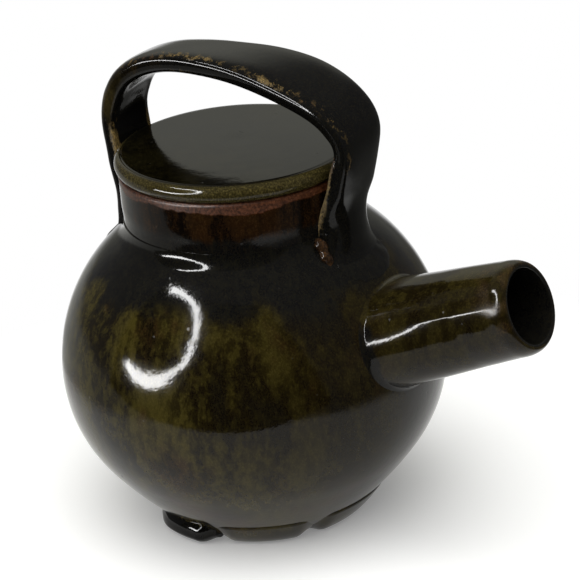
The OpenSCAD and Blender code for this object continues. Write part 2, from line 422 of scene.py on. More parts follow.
@dataclass(frozen=True)
class Glaze:
    """One glaze of the pot: its colours from deep to broken, how they are layered, and its skin."""

    name: str
    deep: Colour = (0.0060, 0.0040, 0.0014)
    body: Colour = (0.043, 0.0345, 0.0068)
    blot: Colour = (0.026, 0.0125, 0.0045)
    speck: Colour = (0.090, 0.068, 0.016)
    broken: Colour = (0.060, 0.034, 0.012)
    rust: Colour = (0.050, 0.026, 0.009)
    black: Colour = (0.0038, 0.0038, 0.0038)
    haze: Colour = (0.0080, 0.0076, 0.0056)
    body_share: float = 1.0
    speck_share: float = 0.45
    speck_least: float = 0.2
    # How much of the glaze's body colour stays on the side with painted shade.
    painted_shade_share: float = 0.22
    streak_scale: float = 60.0
    streak_layer: float = 0.45
    drift_layer: float = 0.30
    mottle_layer: float = 0.40
    layers: Pair = (0.15, 1.0)
    thick: Pair = (0.10, 0.70)
    thin_runs: float = 0.35
    haze_share: float = 0.6
    black_specks: float = 0.06
    roughness: float = 0.07
    pit_dull: float = 0.25
    drift_dull: float = 0.03
    edge_dull: float = 0.16
    edge_grain: float = 0.85
    edge_least: float = 0.25
    edge_faint: float = 0.4
    edge_crawl: float = 0.0
    crawl_from: float = 0.5
    crawl_short: float = 0.3
    skin: float = 0.10
    skin_depth: float = 1.0 * MM
    refraction: float = 1.255

    def material(self) -> Material:
        """Builds the material.

        Returns:
            A procedural material that reads object coordinates and the piece's masks.
        """
        material, desk, shader = new_finish(self.name)
        marks = desk.add("ShaderNodeGroup", node_tree=GlazeMarks.tree())
        marks.inputs["Streak Scale"].default_value = self.streak_scale
        spot = desk.spot()
        desk.feed(shader.inputs["Base Color"], self._colour(desk, marks, spot))
        desk.feed(shader.inputs["Roughness"], self._roughness(desk, marks, spot))
        shader.inputs["IOR"].default_value = self.refraction
        desk.feed(shader.inputs["Normal"], desk.bump(marks.outputs["Height"], self.skin, self.skin_depth))
        return material

    def _colour(self, desk: NodeDesk, marks: bpy.types.Node, spot: NodeSocket) -> NodeSocket:
        """Layers streaks, specks, painted light and shade by side, the thick dark glaze with the painted
        shade and painted reflection that its mask carries, and the broken edges.

        Args:
            desk: Desk of the material's tree.
            marks: The shared marks, placed in the material.
            spot: Object coordinates; not used here.

        Returns:
            The colour of the glaze.
        """
        out = marks.outputs
        # Painted light and shade by side: full body colour where the pot is painted as lit, less of it,
        # down to the shade share, on the far side.
        painted_light = desk.calc("MULTIPLY_ADD", out["Painted Light"], 1 - self.painted_shade_share, self.painted_shade_share)
        share = desk.calc("MULTIPLY", out["Drift"], self.drift_layer)
        share = desk.calc("MULTIPLY_ADD", out["Streaks"], self.streak_layer, share)
        share = desk.calc("MULTIPLY_ADD", out["Mottle"], self.mottle_layer, share)
        share = desk.calc("MULTIPLY", desk.span(share, *self.layers), painted_light)
        body = desk.blend(out["Stain"], self.body, self.blot)
        colour = desk.blend(desk.calc("MULTIPLY", share, self.body_share), self.deep, body)
        specks = desk.calc("MULTIPLY_ADD", share, 1 - self.speck_least, self.speck_least)
        specks = desk.calc("MULTIPLY", out["Speckle"], specks)
        colour = desk.blend(desk.calc("MULTIPLY", specks, self.speck_share), colour, self.speck)
        # Thick black glaze from the dark mask, which on some pieces also paints shade and a reflection.
        thin = desk.calc("SUBTRACT", desk.calc("ADD", out["Streaks"], out["Drift"]), 1.0)
        thick = desk.calc("MULTIPLY_ADD", thin, -self.thin_runs, desk.mask(Mask.DARK))
        black = desk.blend(desk.calc("MULTIPLY", out["Mottle"], self.haze_share), self.black, self.haze)
        black = desk.blend(desk.calc("MULTIPLY", out["Speckle"], self.black_specks), black, self.speck)
        colour = desk.blend(desk.span(thick, *self.thick), colour, black)
        broken = desk.blend(out["Stain"], self.broken, self.rust)
        grain = desk.calc("MULTIPLY_ADD", out["Speckle"], self.edge_grain, self.edge_least)
        return desk.blend(desk.calc("MULTIPLY", self._worn(desk, marks), grain), colour, broken)

    def _worn(self, desk: NodeDesk, marks: bpy.types.Node) -> NodeSocket:
        """Mask of the broken edges, torn into islands where the glaze crawled."""
        edge = desk.mask(Mask.EDGE)
        torn = desk.calc("SUBTRACT", marks.outputs["Mottle"], 0.5)
        torn = desk.calc("MULTIPLY_ADD", torn, self.edge_crawl, edge)
        low, high = self.crawl_from * self.edge_crawl, 1 - self.crawl_short * self.edge_crawl
        faint = desk.calc("MULTIPLY_ADD", edge, 1 - self.edge_faint, self.edge_faint)
        return desk.calc("MULTIPLY", desk.span(torn, low, high, smooth=False), faint)

    def _roughness(self, desk: NodeDesk, marks: bpy.types.Node, spot: NodeSocket) -> NodeSocket:
        """Gloss of the fired glaze, a little duller where it drifts thin and in its pits."""
        dull = desk.calc("MULTIPLY_ADD", marks.outputs["Pits"], self.pit_dull, self.roughness)
        dull = desk.calc("MULTIPLY_ADD", self._worn(desk, marks), self.edge_dull, dull)
        return desk.calc("MULTIPLY_ADD", marks.outputs["Drift"], self.drift_dull, dull)


@dataclass(frozen=True)
class NeckGlaze(Glaze):
    """Glaze of the neck, wiped back to bare clay under the lid."""

    clay: Colour = (0.125, 0.044, 0.018)
    clay_dark: Colour = (0.026, 0.008, 0.003)
    clay_grain: Cloud = Cloud(900.0, 4.0, 0.75)
    clay_limits: Pair = (0.36, 0.68)
    clay_dull: float = 0.28
    rim_z: float = 0.0
    band: float = 4.0 * MM
    band_edge: Pair = (-0.5 * MM, 0.6 * MM)
    waver: float = 4.2 * MM
    runs: Cloud = Cloud(52.0, 5.0, 0.62, 0.3)

    def _bare(self, desk: NodeDesk, spot: NodeSocket) -> NodeSocket:
        """Mask of the bare band, whose lower edge wavers and drips."""
        part = desk.add("ShaderNodeSeparateXYZ")
        desk.feed(part.inputs[0], spot)
        highest = self.rim_z - self.band + self.waver
        edge = desk.calc("MULTIPLY_ADD", self.runs.draw(desk, spot), -2 * self.waver, highest)
        above = desk.calc("SUBTRACT", part.outputs["Z"], edge)
        return desk.span(above, *self.band_edge)

    def _colour(self, desk: NodeDesk, marks: bpy.types.Node, spot: NodeSocket) -> NodeSocket:
        """Lays the bare band over the glaze."""
        glazed = super()._colour(desk, marks, spot)
        grain = desk.span(self.clay_grain.draw(desk, spot), *self.clay_limits)
        clay = desk.blend(grain, self.clay_dark, self.clay)
        return desk.blend(self._bare(desk, spot), glazed, clay)

    def _roughness(self, desk: NodeDesk, marks: bpy.types.Node, spot: NodeSocket) -> NodeSocket:
        """Duller where the clay is bare."""
        glazed = super()._roughness(desk, marks, spot)
        return desk.calc("MULTIPLY_ADD", self._bare(desk, spot), self.clay_dull, glazed)


@dataclass(frozen=True)
class BareClay:
    """Unglazed fired clay with a sandy grain."""

    name: str = "bare_clay"
    light: Colour = (0.17, 0.085, 0.055)
    dark: Colour = (0.075, 0.034, 0.022)
    roughness: float = 0.62
    grain_dull: float = 0.2
    grain: Cloud = Cloud(1200.0, 4.0, 0.7)
    grain_limits: Pair = (0.3, 0.7)
    patches: Cloud = Cloud(45.0, 3.0)
    patch_least: float = 0.35
    skin: float = 0.35
    skin_depth: float = 0.2 * MM

    def material(self) -> Material:
        """Builds the material of the unglazed pieces.

        Returns:
            A procedural material that reads object coordinates.
        """
        material, desk, shader = new_finish(self.name)
        spot = desk.spot()
        grain = self.grain.draw(desk, spot)
        patches = desk.calc("ADD", self.patches.draw(desk, spot), self.patch_least)
        share = desk.calc("MULTIPLY", desk.span(grain, *self.grain_limits), patches)
        desk.feed(shader.inputs["Base Color"], desk.blend(share, self.dark, self.light))
        dull = desk.calc("MULTIPLY_ADD", grain, self.grain_dull, self.roughness)
        desk.feed(shader.inputs["Roughness"], dull)
        desk.feed(shader.inputs["Normal"], desk.bump(grain, self.skin, self.skin_depth))
        return material


@dataclass
class Globe:
    """The thrown globe with its floor, shoulder and the strainer behind the spout."""

    belly_r: float = field(default_factory=lambda: top_radius("body_globe"))
    neck_r: float = field(default_factory=lambda: top_radius("neck_collar") - NECK_TUCK)
    neck_z: float = field(default_factory=lambda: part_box("neck_collar")[0].z)
    base_z: float = field(default_factory=lambda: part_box("body_globe")[0].z)
    belly_z: float = 67.5 * MM
    shoulder_arc: float = 72.5 * MM
    belly_arc: float = 60.0 * MM
    belly_sweep: float = math.radians(36)
    base_arc: float = 160.0 * MM
    cove_arc: float = 9.0 * MM
    cove_lip: float = 0.2 * MM
    wall: float = WALL
    floor: float = 7.0 * MM
    ripple: float = 0.05 * MM
    ripple_least: float = 0.4
    ripple_grain: float = 25.0
    ripple_pitch: float = 11.0 * MM
    ripple_r: Fade = fade_mm(30, 60)
    ripple_z: Fade = fade_mm(128, 112)
    dark_z: Fade = fade_mm(102, 127)
    seat_rounds: int = 40

    def __post_init__(self) -> None:
        """Works out the centres of the arcs, which touch each other."""
        self.shoulder_c = self.belly_r - self.shoulder_arc
        self.belly_c = self.belly_r - self.belly_arc
        gap = self.base_arc - self.belly_arc
        self.base_c = self.belly_c - gap * math.cos(self.belly_sweep)
        self.base_cz = self.belly_z + gap * math.sin(self.belly_sweep)
        self.cove_c = self.neck_r + self.cove_arc
        self.shoulder_sweep = math.atan2(self.neck_z - self.belly_z, self.cove_c - self.shoulder_c)

    def radius_at(self, z: float) -> float:
        """Outer radius of the globe at a level, without the hollow curve at the neck."""
        rise = z - self.belly_z
        if rise >= 0:
            return self.shoulder_c + math.sqrt(max(0.0, self.shoulder_arc ** 2 - rise ** 2))
        if rise >= -self.belly_arc * math.sin(self.belly_sweep):
            return self.belly_c + math.sqrt(self.belly_arc ** 2 - rise ** 2)
        return self.base_c + math.sqrt(max(0.0, self.base_arc ** 2 - (z - self.base_cz) ** 2))

    def shoulder_point(self, angle: float, lift: float = 0.0) -> Vector:
        """Point on the shoulder arc in the XZ plane, lifted off it."""
        reach = self.shoulder_arc + lift
        x, z = self.shoulder_c + reach * math.cos(angle), self.belly_z + reach * math.sin(angle)
        return Vector((x, 0, z))

    def seat(self, start: Vector, along: Vector, far: float) -> float:
        """Finds where a line meets the globe's outside.

        Args:
            start: Point outside or inside the globe.
            along: Direction of the line, away from the globe.
            far: Largest distance to look, to either side.

        Returns:
            Distance from start, counted along the direction.
        """
        low, high = -far, far
        for _ in range(self.seat_rounds):
            middle = (low + high) / 2
            point = start + along * middle
            if math.hypot(point.x, point.y) < self.radius_at(point.z):
                low = middle
            else:
                high = middle
        return high

    def build(self, spout: "Spout", finish: Material) -> Object:
        """Turns the globe and pierces the strainer.

        Args:
            spout: The spout, whose axis the strainer holes follow.
            finish: Glaze of the globe.

        Returns:
            The dressed piece.
        """
        lathe = Lathe(0, self.base_z)
        base_start = math.asin((self.base_z - self.base_cz) / self.base_arc)
        lathe.line_to(self.base_c + self.base_arc * math.cos(base_start), self.base_z, cuts=6)
        lathe.arc((self.base_c, self.base_cz), -self.belly_sweep - base_start, steps=16)
        lathe.arc((self.belly_c, self.belly_z), self.belly_sweep, steps=24)
        lathe.arc((self.shoulder_c, self.belly_z), self.shoulder_sweep, steps=44)
        lathe.arc((self.cove_c, self.neck_z - self.cove_lip), -self.shoulder_sweep, steps=14)
        lathe.line_to(self.neck_r, self.neck_z)
        lathe.line_to(self.neck_r - self.wall, self.neck_z)
        lathe.arc((self.cove_c, self.neck_z), self.shoulder_sweep, steps=8)
        lathe.arc((self.shoulder_c, self.belly_z), -self.shoulder_sweep, steps=24)
        lathe.arc((self.belly_c, self.belly_z), -self.belly_sweep, steps=12)
        inside = self.base_arc - self.wall
        floor_z = self.base_z + self.floor
        base_end = math.asin((floor_z - self.base_cz) / inside)
        lathe.arc((self.base_c, self.base_cz), base_end + self.belly_sweep, steps=8)
        lathe.line_to(0, floor_z, cuts=6)
        bm = lathe.turn(ROUND_STEPS)
        self._throw(bm)
        piece = new_piece("globe", bm)
        self._pierce(piece, spout)
        # Dark mask: thick glaze on the shoulder and painted shade inside.
        paint(piece, Mask.DARK, self._thick_glaze_and_painted_shade)
        return place(piece, Body.POT, "globe_glaze", finish, "body_globe")

    def _thick_glaze_and_painted_shade(self, co: Vector) -> float:
        """Share of thick dark glaze on the shoulder, and of painted shade all over the inside."""
        inside = math.hypot(co.x, co.y) < self.radius_at(co.z) - self.wall / 2
        # Painted shade: the whole inside below the neck is painted dark.
        return 1.0 if inside and co.z < self.neck_z - self.cove_arc else self.dark_z.at(co.z)

    def _throw(self, bm: BMesh) -> None:
        """Presses faint spiral throwing marks into the wall, only inwards."""
        for vert in bm.verts:
            r = math.hypot(vert.co.x, vert.co.y)
            share = self.ripple_r.at(r) * self.ripple_z.at(vert.co.z)
            turn = math.atan2(vert.co.y, vert.co.x)
            wave = 0.5 + 0.5 * math.cos(math.tau * vert.co.z / self.ripple_pitch + turn)
            uneven = self.ripple_least + noise.noise(vert.co * self.ripple_grain)
            press = share * self.ripple * wave * uneven
            vert.co.xy *= 1 - press / max(r, LEAST_R)

    def _pierce(self, piece: Object, spout: "Spout") -> None:
        """Cuts the strainer holes with a boolean and applies it."""
        bm = bmesh.new()
        turn = spout.placing()
        spots = [Vector((0, 0, 0))]
        for k in range(spout.strainer_count):
            angle = math.tau * k / spout.strainer_count
            spots.append(Vector((math.cos(angle), math.sin(angle), 0)) * spout.strainer_ring)
        for spot in spots:
            bmesh.ops.create_cone(
                bm, cap_ends=True, segments=24, radius1=spout.strainer_r, radius2=spout.strainer_r,
                depth=spout.strainer_l, matrix=turn @ Matrix.Translation(spot))
        cutter = new_piece("strainer_cutter", bm)
        cut = piece.modifiers.new("strainer", "BOOLEAN")
        cut.operation = "DIFFERENCE"
        cut.object = cutter
        settle(piece)
        bpy.data.objects.remove(cutter)


@dataclass
class Neck:
    """The straight neck that carries the lid."""

    outer: float = field(default_factory=lambda: top_radius("neck_collar"))
    foot_z: float = field(default_factory=lambda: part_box("neck_collar")[0].z)
    rim_z: float = field(default_factory=lambda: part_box("neck_collar")[1].z)
    wall: float = WALL
    rim_round: float = 1.4 * MM
    tuck: float = NECK_TUCK
    tuck_h: float = 9.0 * MM
    dark_h: float = 1.8 * MM
    uneven: float = 0.12 * MM
    uneven_grain: float = 45.0
    uneven_ease: Fade = fade_mm(0, 4)

    def build(self, finish: Material) -> Object:
        """Turns the neck and tucks its foot in a little.

        Args:
            finish: Glaze of the neck, with its bare band.

        Returns:
            The dressed piece.
        """
        bore = self.outer - self.wall
        shoulder_z = self.rim_z - self.rim_round
        lathe = Lathe(bore, self.foot_z)
        lathe.line_to(bore, shoulder_z, cuts=12)
        lathe.arc((bore + self.rim_round, shoulder_z), -math.pi / 2, steps=6)
        lathe.line_to(self.outer - self.rim_round, self.rim_z, cuts=2)
        lathe.arc((self.outer - self.rim_round, shoulder_z), -math.pi / 2, steps=6)
        lathe.line_to(self.outer, self.foot_z, cuts=24)
        lathe.close()
        bm = lathe.turn(ROUND_STEPS)
        for vert in bm.verts:
            rise = vert.co.z - self.foot_z
            ease = self.uneven_ease.at(rise) * self.uneven_ease.at(self.rim_z - vert.co.z)
            press = self.tuck * smooth_step(self.tuck_h, 0.0, rise)
            press += ease * self.uneven * (1 + noise.noise(vert.co * self.uneven_grain))
            vert.co.xy *= 1 - press / self.outer
        piece = new_piece("neck", bm)
        paint(piece, Mask.DARK, lambda co: smooth_step(self.tuck_h, self.dark_h, co.z - self.foot_z))
        return place(piece, Body.POT, "neck_glaze", finish, "neck_collar")


@dataclass
class Lid:
    """The loose flat lid with its round rim and the ring that keeps it centred."""

    outer: float = field(default_factory=lambda: top_radius("lid_disc"))
    low_z: float = field(default_factory=lambda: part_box("lid_disc")[0].z)
    top_z: float = field(default_factory=lambda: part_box("lid_disc")[1].z)
    flange_r: float = field(default_factory=lambda: top_radius("lid_flange"))
    flange_z: float = field(default_factory=lambda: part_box("lid_flange")[0].z)
    flange_t: float = 4.0 * MM
    flange_round: float = 1.0 * MM
    flange_steps: int = 128
    arris_in: float = 1.2 * MM
    arris_soft: float = 0.45 * MM
    arris_near: float = 0.05 * MM
    arris_wear: Fade = fade_mm(-0.8, 1.2)
    flat_in: float = 0.5 * MM
    crown: float = 1.7 * MM
    ring_depth: float = 0.010 * MM
    ring_least: float = 0.5
    ring_grain: float = 30.0
    ring_fade: Fade = fade_mm(0, 10)
    ring_pitch: float = 7.0 * MM
    swirl_r: float = 9.0 * MM
    swirl_depth: float = 0.35 * MM

    def build(self, finish: Material, clay: Material) -> list[Object]:
        """Turns the disc and the ring under it.

        Args:
            finish: Glaze of the disc.
            clay: Bare clay of the ring.

        Returns:
            Both dressed pieces.
        """
        return [self._disc(finish), self._flange(clay)]

    def _disc(self, finish: Material) -> Object:
        """Turns the disc, whose top is a little crowned inside a soft arris."""
        half = (self.top_z - self.low_z) / 2
        mid_z = self.low_z + half
        rim = math.hypot(half, self.arris_in)
        rim_c = self.outer - rim
        arris = rim_c + self.arris_in
        reach = math.atan2(half, self.arris_in)
        lathe = Lathe(0, self.low_z)
        lathe.line_to(arris, self.low_z, cuts=8)
        lathe.arc((rim_c, mid_z), 2 * reach, steps=18)
        lathe.line_to(arris - self.flat_in, self.top_z)
        lathe.line_to(0, self.top_z, cuts=40)
        bm = lathe.turn(ROUND_STEPS)
        for vert in bm.verts:
            r = math.hypot(vert.co.x, vert.co.y)
            if vert.co.z > mid_z and r < arris:
                wave = 1 + math.cos(math.tau * r / self.ring_pitch)
                ring = self.ring_depth * wave * self.ring_fade.at(arris - r)
                ring += self.swirl_depth * smooth_step(self.swirl_r, 0, r)
                uneven = self.ring_least + noise.noise(vert.co * self.ring_grain)
                vert.co.z += self.crown * (1 - (r / arris) ** 2) - ring * uneven
        loop = [e for e in bm.edges if all(
            abs(math.hypot(v.co.x, v.co.y) - arris) < self.arris_near and v.co.z > mid_z for v in e.verts)]
        bmesh.ops.bevel(
            bm, geom=loop, offset=self.arris_soft, offset_type="OFFSET", segments=4, profile=0.5,
            affect="EDGES", material=-1)
        piece = new_piece("lid", bm)
        paint(piece, Mask.EDGE, lambda co: self.arris_wear.at(math.hypot(co.x, co.y) - arris))
        return place(piece, Body.LID, "lid_glaze", finish, "lid_disc")

    def _flange(self, clay: Material) -> Object:
        """Turns the ring, with its lower edges rounded."""
        edge = self.flange_round
        inner = self.flange_r - self.flange_t
        lathe = Lathe(inner, self.low_z)
        lathe.line_to(inner, self.flange_z + edge, cuts=4)
        lathe.arc((inner + edge, self.flange_z + edge), math.pi / 2, steps=5)
        lathe.line_to(self.flange_r - edge, self.flange_z)
        lathe.arc((self.flange_r - edge, self.flange_z + edge), math.pi / 2, steps=5)
        lathe.line_to(self.flange_r, self.low_z, cuts=4)
        lathe.close()
        piece = new_piece("lid_ring", lathe.turn(self.flange_steps))
        return place(piece, Body.LID, "bare_clay", clay, "lid_flange")


@dataclass
class Spout:
    """The tapered tube that is stuck on the shoulder, with a rounded lip and an open channel."""

    globe: Globe
    along: Vector = field(init=False)
    length: float = field(init=False)
    root: Vector = field(init=False)
    slope: float = field(init=False)
    mouth: Vector = field(default_factory=lambda: Vector((131.5, 0, 111.0)) * MM)
    rise: float = math.radians(20)
    mouth_r: float = 18.3 * MM
    root_r: float = 20.7 * MM
    wall: float = 3.8 * MM
    swell: float = 0.45 * MM
    lip_r: float = 16.3 * MM
    lip_round: float = 7.0 * MM
    lip_in: float = 0.7 * MM
    short: float = 0.7 * MM
    ridge_turn: float = math.radians(158)
    ridge_tilt: Pair = (math.radians(0.5), math.radians(9.5))
    ridge_reach: Pair = (math.radians(20), math.radians(14))
    ridge_back: float = math.radians(55)
    flare: float = 1.8 * MM
    cone: float = 6.0 * MM
    cone_l: float = 34.0 * MM
    facet_start: Fade = Fade(0.15, 0.4)
    facet_end: Fade = Fade(0.98, 0.8)
    sway: float = 1.2
    sway_grain: float = 6.0
    uneven: float = 0.3 * MM
    uneven_grain: float = 45.0
    lip_wear: Fade = fade_mm(-0.7, -0.2)
    lip_share: float = 0.5
    lip_grain: float = 300.0
    lip_patch: Fade = Fade(-0.2, 0.4)
    mottle_wear: Fade = fade_mm(-22, -5)
    mottle_share: float = 0.55
    mottle_grain: float = 170.0
    mottle_patch: Fade = Fade(-0.1, 0.35)
    # Glaze pooled in the crease under the root, darkened further as painted shade.
    pool_and_shade_turn: float = math.radians(222)
    pool_and_shade_low: Fade = Fade(0.1, 0.7)
    pool_and_shade_edge: Fade = fade_mm(-5, -1.5)
    pool_and_shade_waver: float = 2.5 * MM
    pool_and_shade_grain: float = 90.0
    axis_far: float = 100.0 * MM
    side_far: float = 60.0 * MM
    bed: float = 1.2 * MM
    bed_in: float = 1.0 * MM
    cove_near: float = 0.01 * MM
    steps: int = 288
    sink: float = 0.08 * MM
    settle_l: float = 30.0 * MM
    strainer_r: float = 3.0 * MM
    strainer_l: float = 40.0 * MM
    strainer_ring: float = 10.0 * MM
    strainer_count: int = 6

    def __post_init__(self) -> None:
        """Finds where the axis meets the globe."""
        self.along = Vector((math.cos(self.rise), 0, math.sin(self.rise)))
        self.length = -self.globe.seat(self.mouth, self.along, self.axis_far)
        self.root = self.mouth - self.along * self.length
        self.slope = (self.root_r - self.mouth_r) / self.length

    def _wall_r(self, z: float) -> float:
        """Outer radius of the round tube at a distance from its root."""
        return self.root_r + self.swell - self.slope * z

    def placing(self) -> Matrix:
        """Matrix from the spout's own axes, with Z along it, to the frame."""
        turn = self.along.to_track_quat("Z", "Y").to_matrix().to_4x4()
        return Matrix.Translation(self.root) @ turn

    def build(self, finish: Material) -> Object:
        """Turns the tube and beds its root on the globe.

        Args:
            finish: Glaze of the spout.

        Returns:
            The dressed piece.
        """
        neck_r = self._wall_r(self.flare)
        end = self.length - self.short
        brow_z = end - self.lip_round
        brow_r = self._wall_r(brow_z)
        bore_r = self.lip_r - 2 * self.lip_in
        quarter = math.pi / 2
        lathe = Lathe(self.root_r - self.wall, -self.bed)
        lathe.line_to(bore_r, end - self.lip_in, cuts=30)
        lathe.arc((bore_r + self.lip_in, end - self.lip_in), -quarter, steps=5)
        lathe.line_to(self.lip_r, end)
        lathe.bow((self.lip_r, brow_z), (brow_r - self.lip_r, self.lip_round), quarter, 0, steps=14)
        lathe.line_to(neck_r, self.flare, cuts=40)
        lathe.arc((neck_r + self.flare, self.flare), quarter, steps=14)
        lathe.line_to(neck_r + self.flare - self.bed_in, -self.bed)
        lathe.close()
        bm = lathe.turn(self.steps)
        self._shape(bm)
        piece = new_piece("spout", bm)
        paint(piece, Mask.EDGE, self._break_share)
        # Dark mask: painted shade in the bore, pooled glaze with painted shade under the root.
        paint(piece, Mask.DARK, self._thick_glaze_and_painted_shade)
        return place(piece, Body.POT, "spout_glaze", finish, "spout_tube")

    def _shape(self, bm: BMesh) -> None:
        """Widens the tube sideways to its root, flattens its near side and lays it on the globe."""
        matrix = self.placing()
        cove_r = self._wall_r(self.flare) + self.cove_near
        for vert in bm.verts:
            share = vert.co.z / self.length
            turn = math.atan2(vert.co.y, vert.co.x)
            r = max(vert.co.xy.length, LEAST_R)
            if r > self.root_r - self.wall / 2:
                widen = self.cone * max(0.0, 1 - max(0.0, vert.co.z) / self.cone_l)
                vert.co.xy *= 1 + widen * (vert.co.x / r) ** 2 / r
            if vert.co.z < self.flare and r > cove_r:
                continue
            ease = self.facet_start.at(share) * self.facet_end.at(share)
            sway = self.sway * noise.noise(Vector((0, 0, self.sway_grain * share)))
            lump = self.uneven * noise.noise(vert.co * self.uneven_grain)
            vert.co.xy *= 1 - ease * (lump + r * self._facet(turn, sway)) / r
        for vert in bm.verts:
            side = matrix.to_3x3() @ Vector((vert.co.x, vert.co.y, 0))
            drop = self.globe.seat(self.root + side, self.along, self.side_far) - self.sink
            vert.co.z += drop * (1 - smooth_step(self.flare, self.settle_l, vert.co.z))
        bmesh.ops.transform(bm, matrix=matrix, verts=bm.verts[:])
        bmesh.ops.recalc_face_normals(bm, faces=bm.faces[:])

    def _facet(self, turn: float, sway: float) -> float:
        """Depth of the flat that a thumb left along the near side, as a share of the radius.

        Args:
            turn: Angle round the axis, from +Y towards the top.
            sway: How far the ridge above the flat leans, in degrees.

        Returns:
            Depth below the round tube, with a sharp ridge where the flat starts.
        """
        gap = (turn - self.ridge_turn + math.pi) % math.tau - math.pi
        above, below = (math.tan(tilt + math.radians(sway)) for tilt in self.ridge_tilt)
        reach_above, reach_below = self.ridge_reach
        depth = above * reach_above / 2
        if gap < 0:
            return depth * max(0.0, 1 + gap / reach_above) ** 2
        step = min(gap, reach_below)
        depth += below * (step - step * step / (2 * reach_below))
        return depth * smooth_step(reach_below + self.ridge_back, reach_below, gap)

    def _along(self, co: Vector) -> tuple[float, float, float]:
        """Finds a point's place on the tube.

        Args:
            co: The point, in the frame.

        Returns:
            Distance along the axis, distance from it, and angle round it from +Y towards the top.
        """
        away = co - self.root
        along = away.dot(self.along)
        away -= self.along * along
        return along, away.length, math.atan2(away.z / self.along.x, away.y)

    def _break_share(self, co: Vector) -> float:
        """Share of broken glaze, at the lip and in the mottled stretch behind it."""
        along, away, _ = self._along(co)
        lip = self.lip_share * self.lip_wear.at(along - self.length)
        lip *= self.lip_patch.at(noise.noise(co * self.lip_grain))
        mottle = self.mottle_share * self.mottle_wear.at(along - self.length)
        mottle *= self.mottle_patch.at(noise.noise(co * self.mottle_grain))
        return max(lip, mottle if away > self.lip_r - self.lip_in else 0.0)

    def _thick_glaze_and_painted_shade(self, co: Vector) -> float:
        """Share of dark glaze: painted shade all through the bore, and glaze pooled with painted shade
        round the lower near side of the root.
        """
        along, away, turn = self._along(co)
        low = self.pool_and_shade_low.at(math.cos(turn - self.pool_and_shade_turn))
        seat = self.globe.seat(co, self.along, self.side_far)
        pool_and_shade = low * self.pool_and_shade_edge.at(seat + self.pool_and_shade_waver * noise.noise(co * self.pool_and_shade_grain))
        # Painted shade: the whole bore is painted dark.
        bore = self.root_r - self.wall / 2
        bore -= along * (bore - self.lip_r + self.lip_in) / self.length
        return 1.0 if away < bore else pool_and_shade


@dataclass(frozen=True)
class StrapWear:
    """Where the strap's glaze breaks or runs off: by height, by length and across its section."""

    patch: Fade = Fade(-0.2, 0.3)
    patch_grain: float = 45.0
    leg_z: Fade = fade_mm(172, 160)
    inner_edge: tuple[Fade, Fade] = (Fade(-0.99, -0.85), Fade(0.5, 0.1))
    inner_arch: float = 0.25
    rear_edge: tuple[Fade, Fade] = (Fade(-1.0, -0.6), Fade(0.55, 0.15))
    rear_x: Fade = fade_mm(6, -10)
    rear_share: float = 0.40
    rear_leg: float = 0.5
    rear_far: float = 0.4
    fleck_edge: tuple[Fade, Fade] = (Fade(-0.7, -0.2), Fade(0.75, 0.25))
    fleck_z: Fade = fade_mm(150, 170)
    fleck_least: float = 0.28
    fleck_patch: float = 0.26
    run_side: Fade = Fade(0.90, 0.99)
    run_x: Fade = fade_mm(-5, -34)
    run_z: Fade = fade_mm(160, 176)
    run_share: float = 0.75

    def broken(self, co: Vector, lean: float, inner: bool, near: bool) -> float:
        """Share of broken glaze at a point of the strap.

        Args:
            co: The point.
            lean: Place across the section, from -1 on a side face to 1 on a broad face.
            inner: Whether the point faces the lid.
            near: Whether it is on the half towards -Y.

        Returns:
            Share of a bead along the inner edges of the legs, or of patches along the outer edges.
        """
        patch = self.patch.at(noise.noise(co * self.patch_grain))
        leg = self.leg_z.at(co.z)
        if inner:
            return self._across(self.inner_edge, lean) * max(leg, self.inner_arch * patch)
        rear = self.rear_share * self.rear_x.at(co.x) * (1 - self.rear_leg * leg)
        rear *= self._across(self.rear_edge, lean)
        if not near:
            return self.rear_far * rear
        flecks = (self.fleck_least + self.fleck_patch * patch) * self.fleck_z.at(co.z)
        return max(rear, flecks * self._across(self.fleck_edge, lean))

    def thick(self, co: Vector, u: float) -> float:
        """Share of thick dark glaze, which runs off the side faces over the rear of the arch."""
        run = self.run_side.at(abs(u)) * self.run_x.at(co.x) * self.run_z.at(co.z)
        return 1 - self.run_share * run

    @staticmethod
    def _across(edge: tuple[Fade, Fade], lean: float) -> float:
        """Share of the band along an edge at a place across the section."""
        return edge[0].at(lean) * edge[1].at(lean)


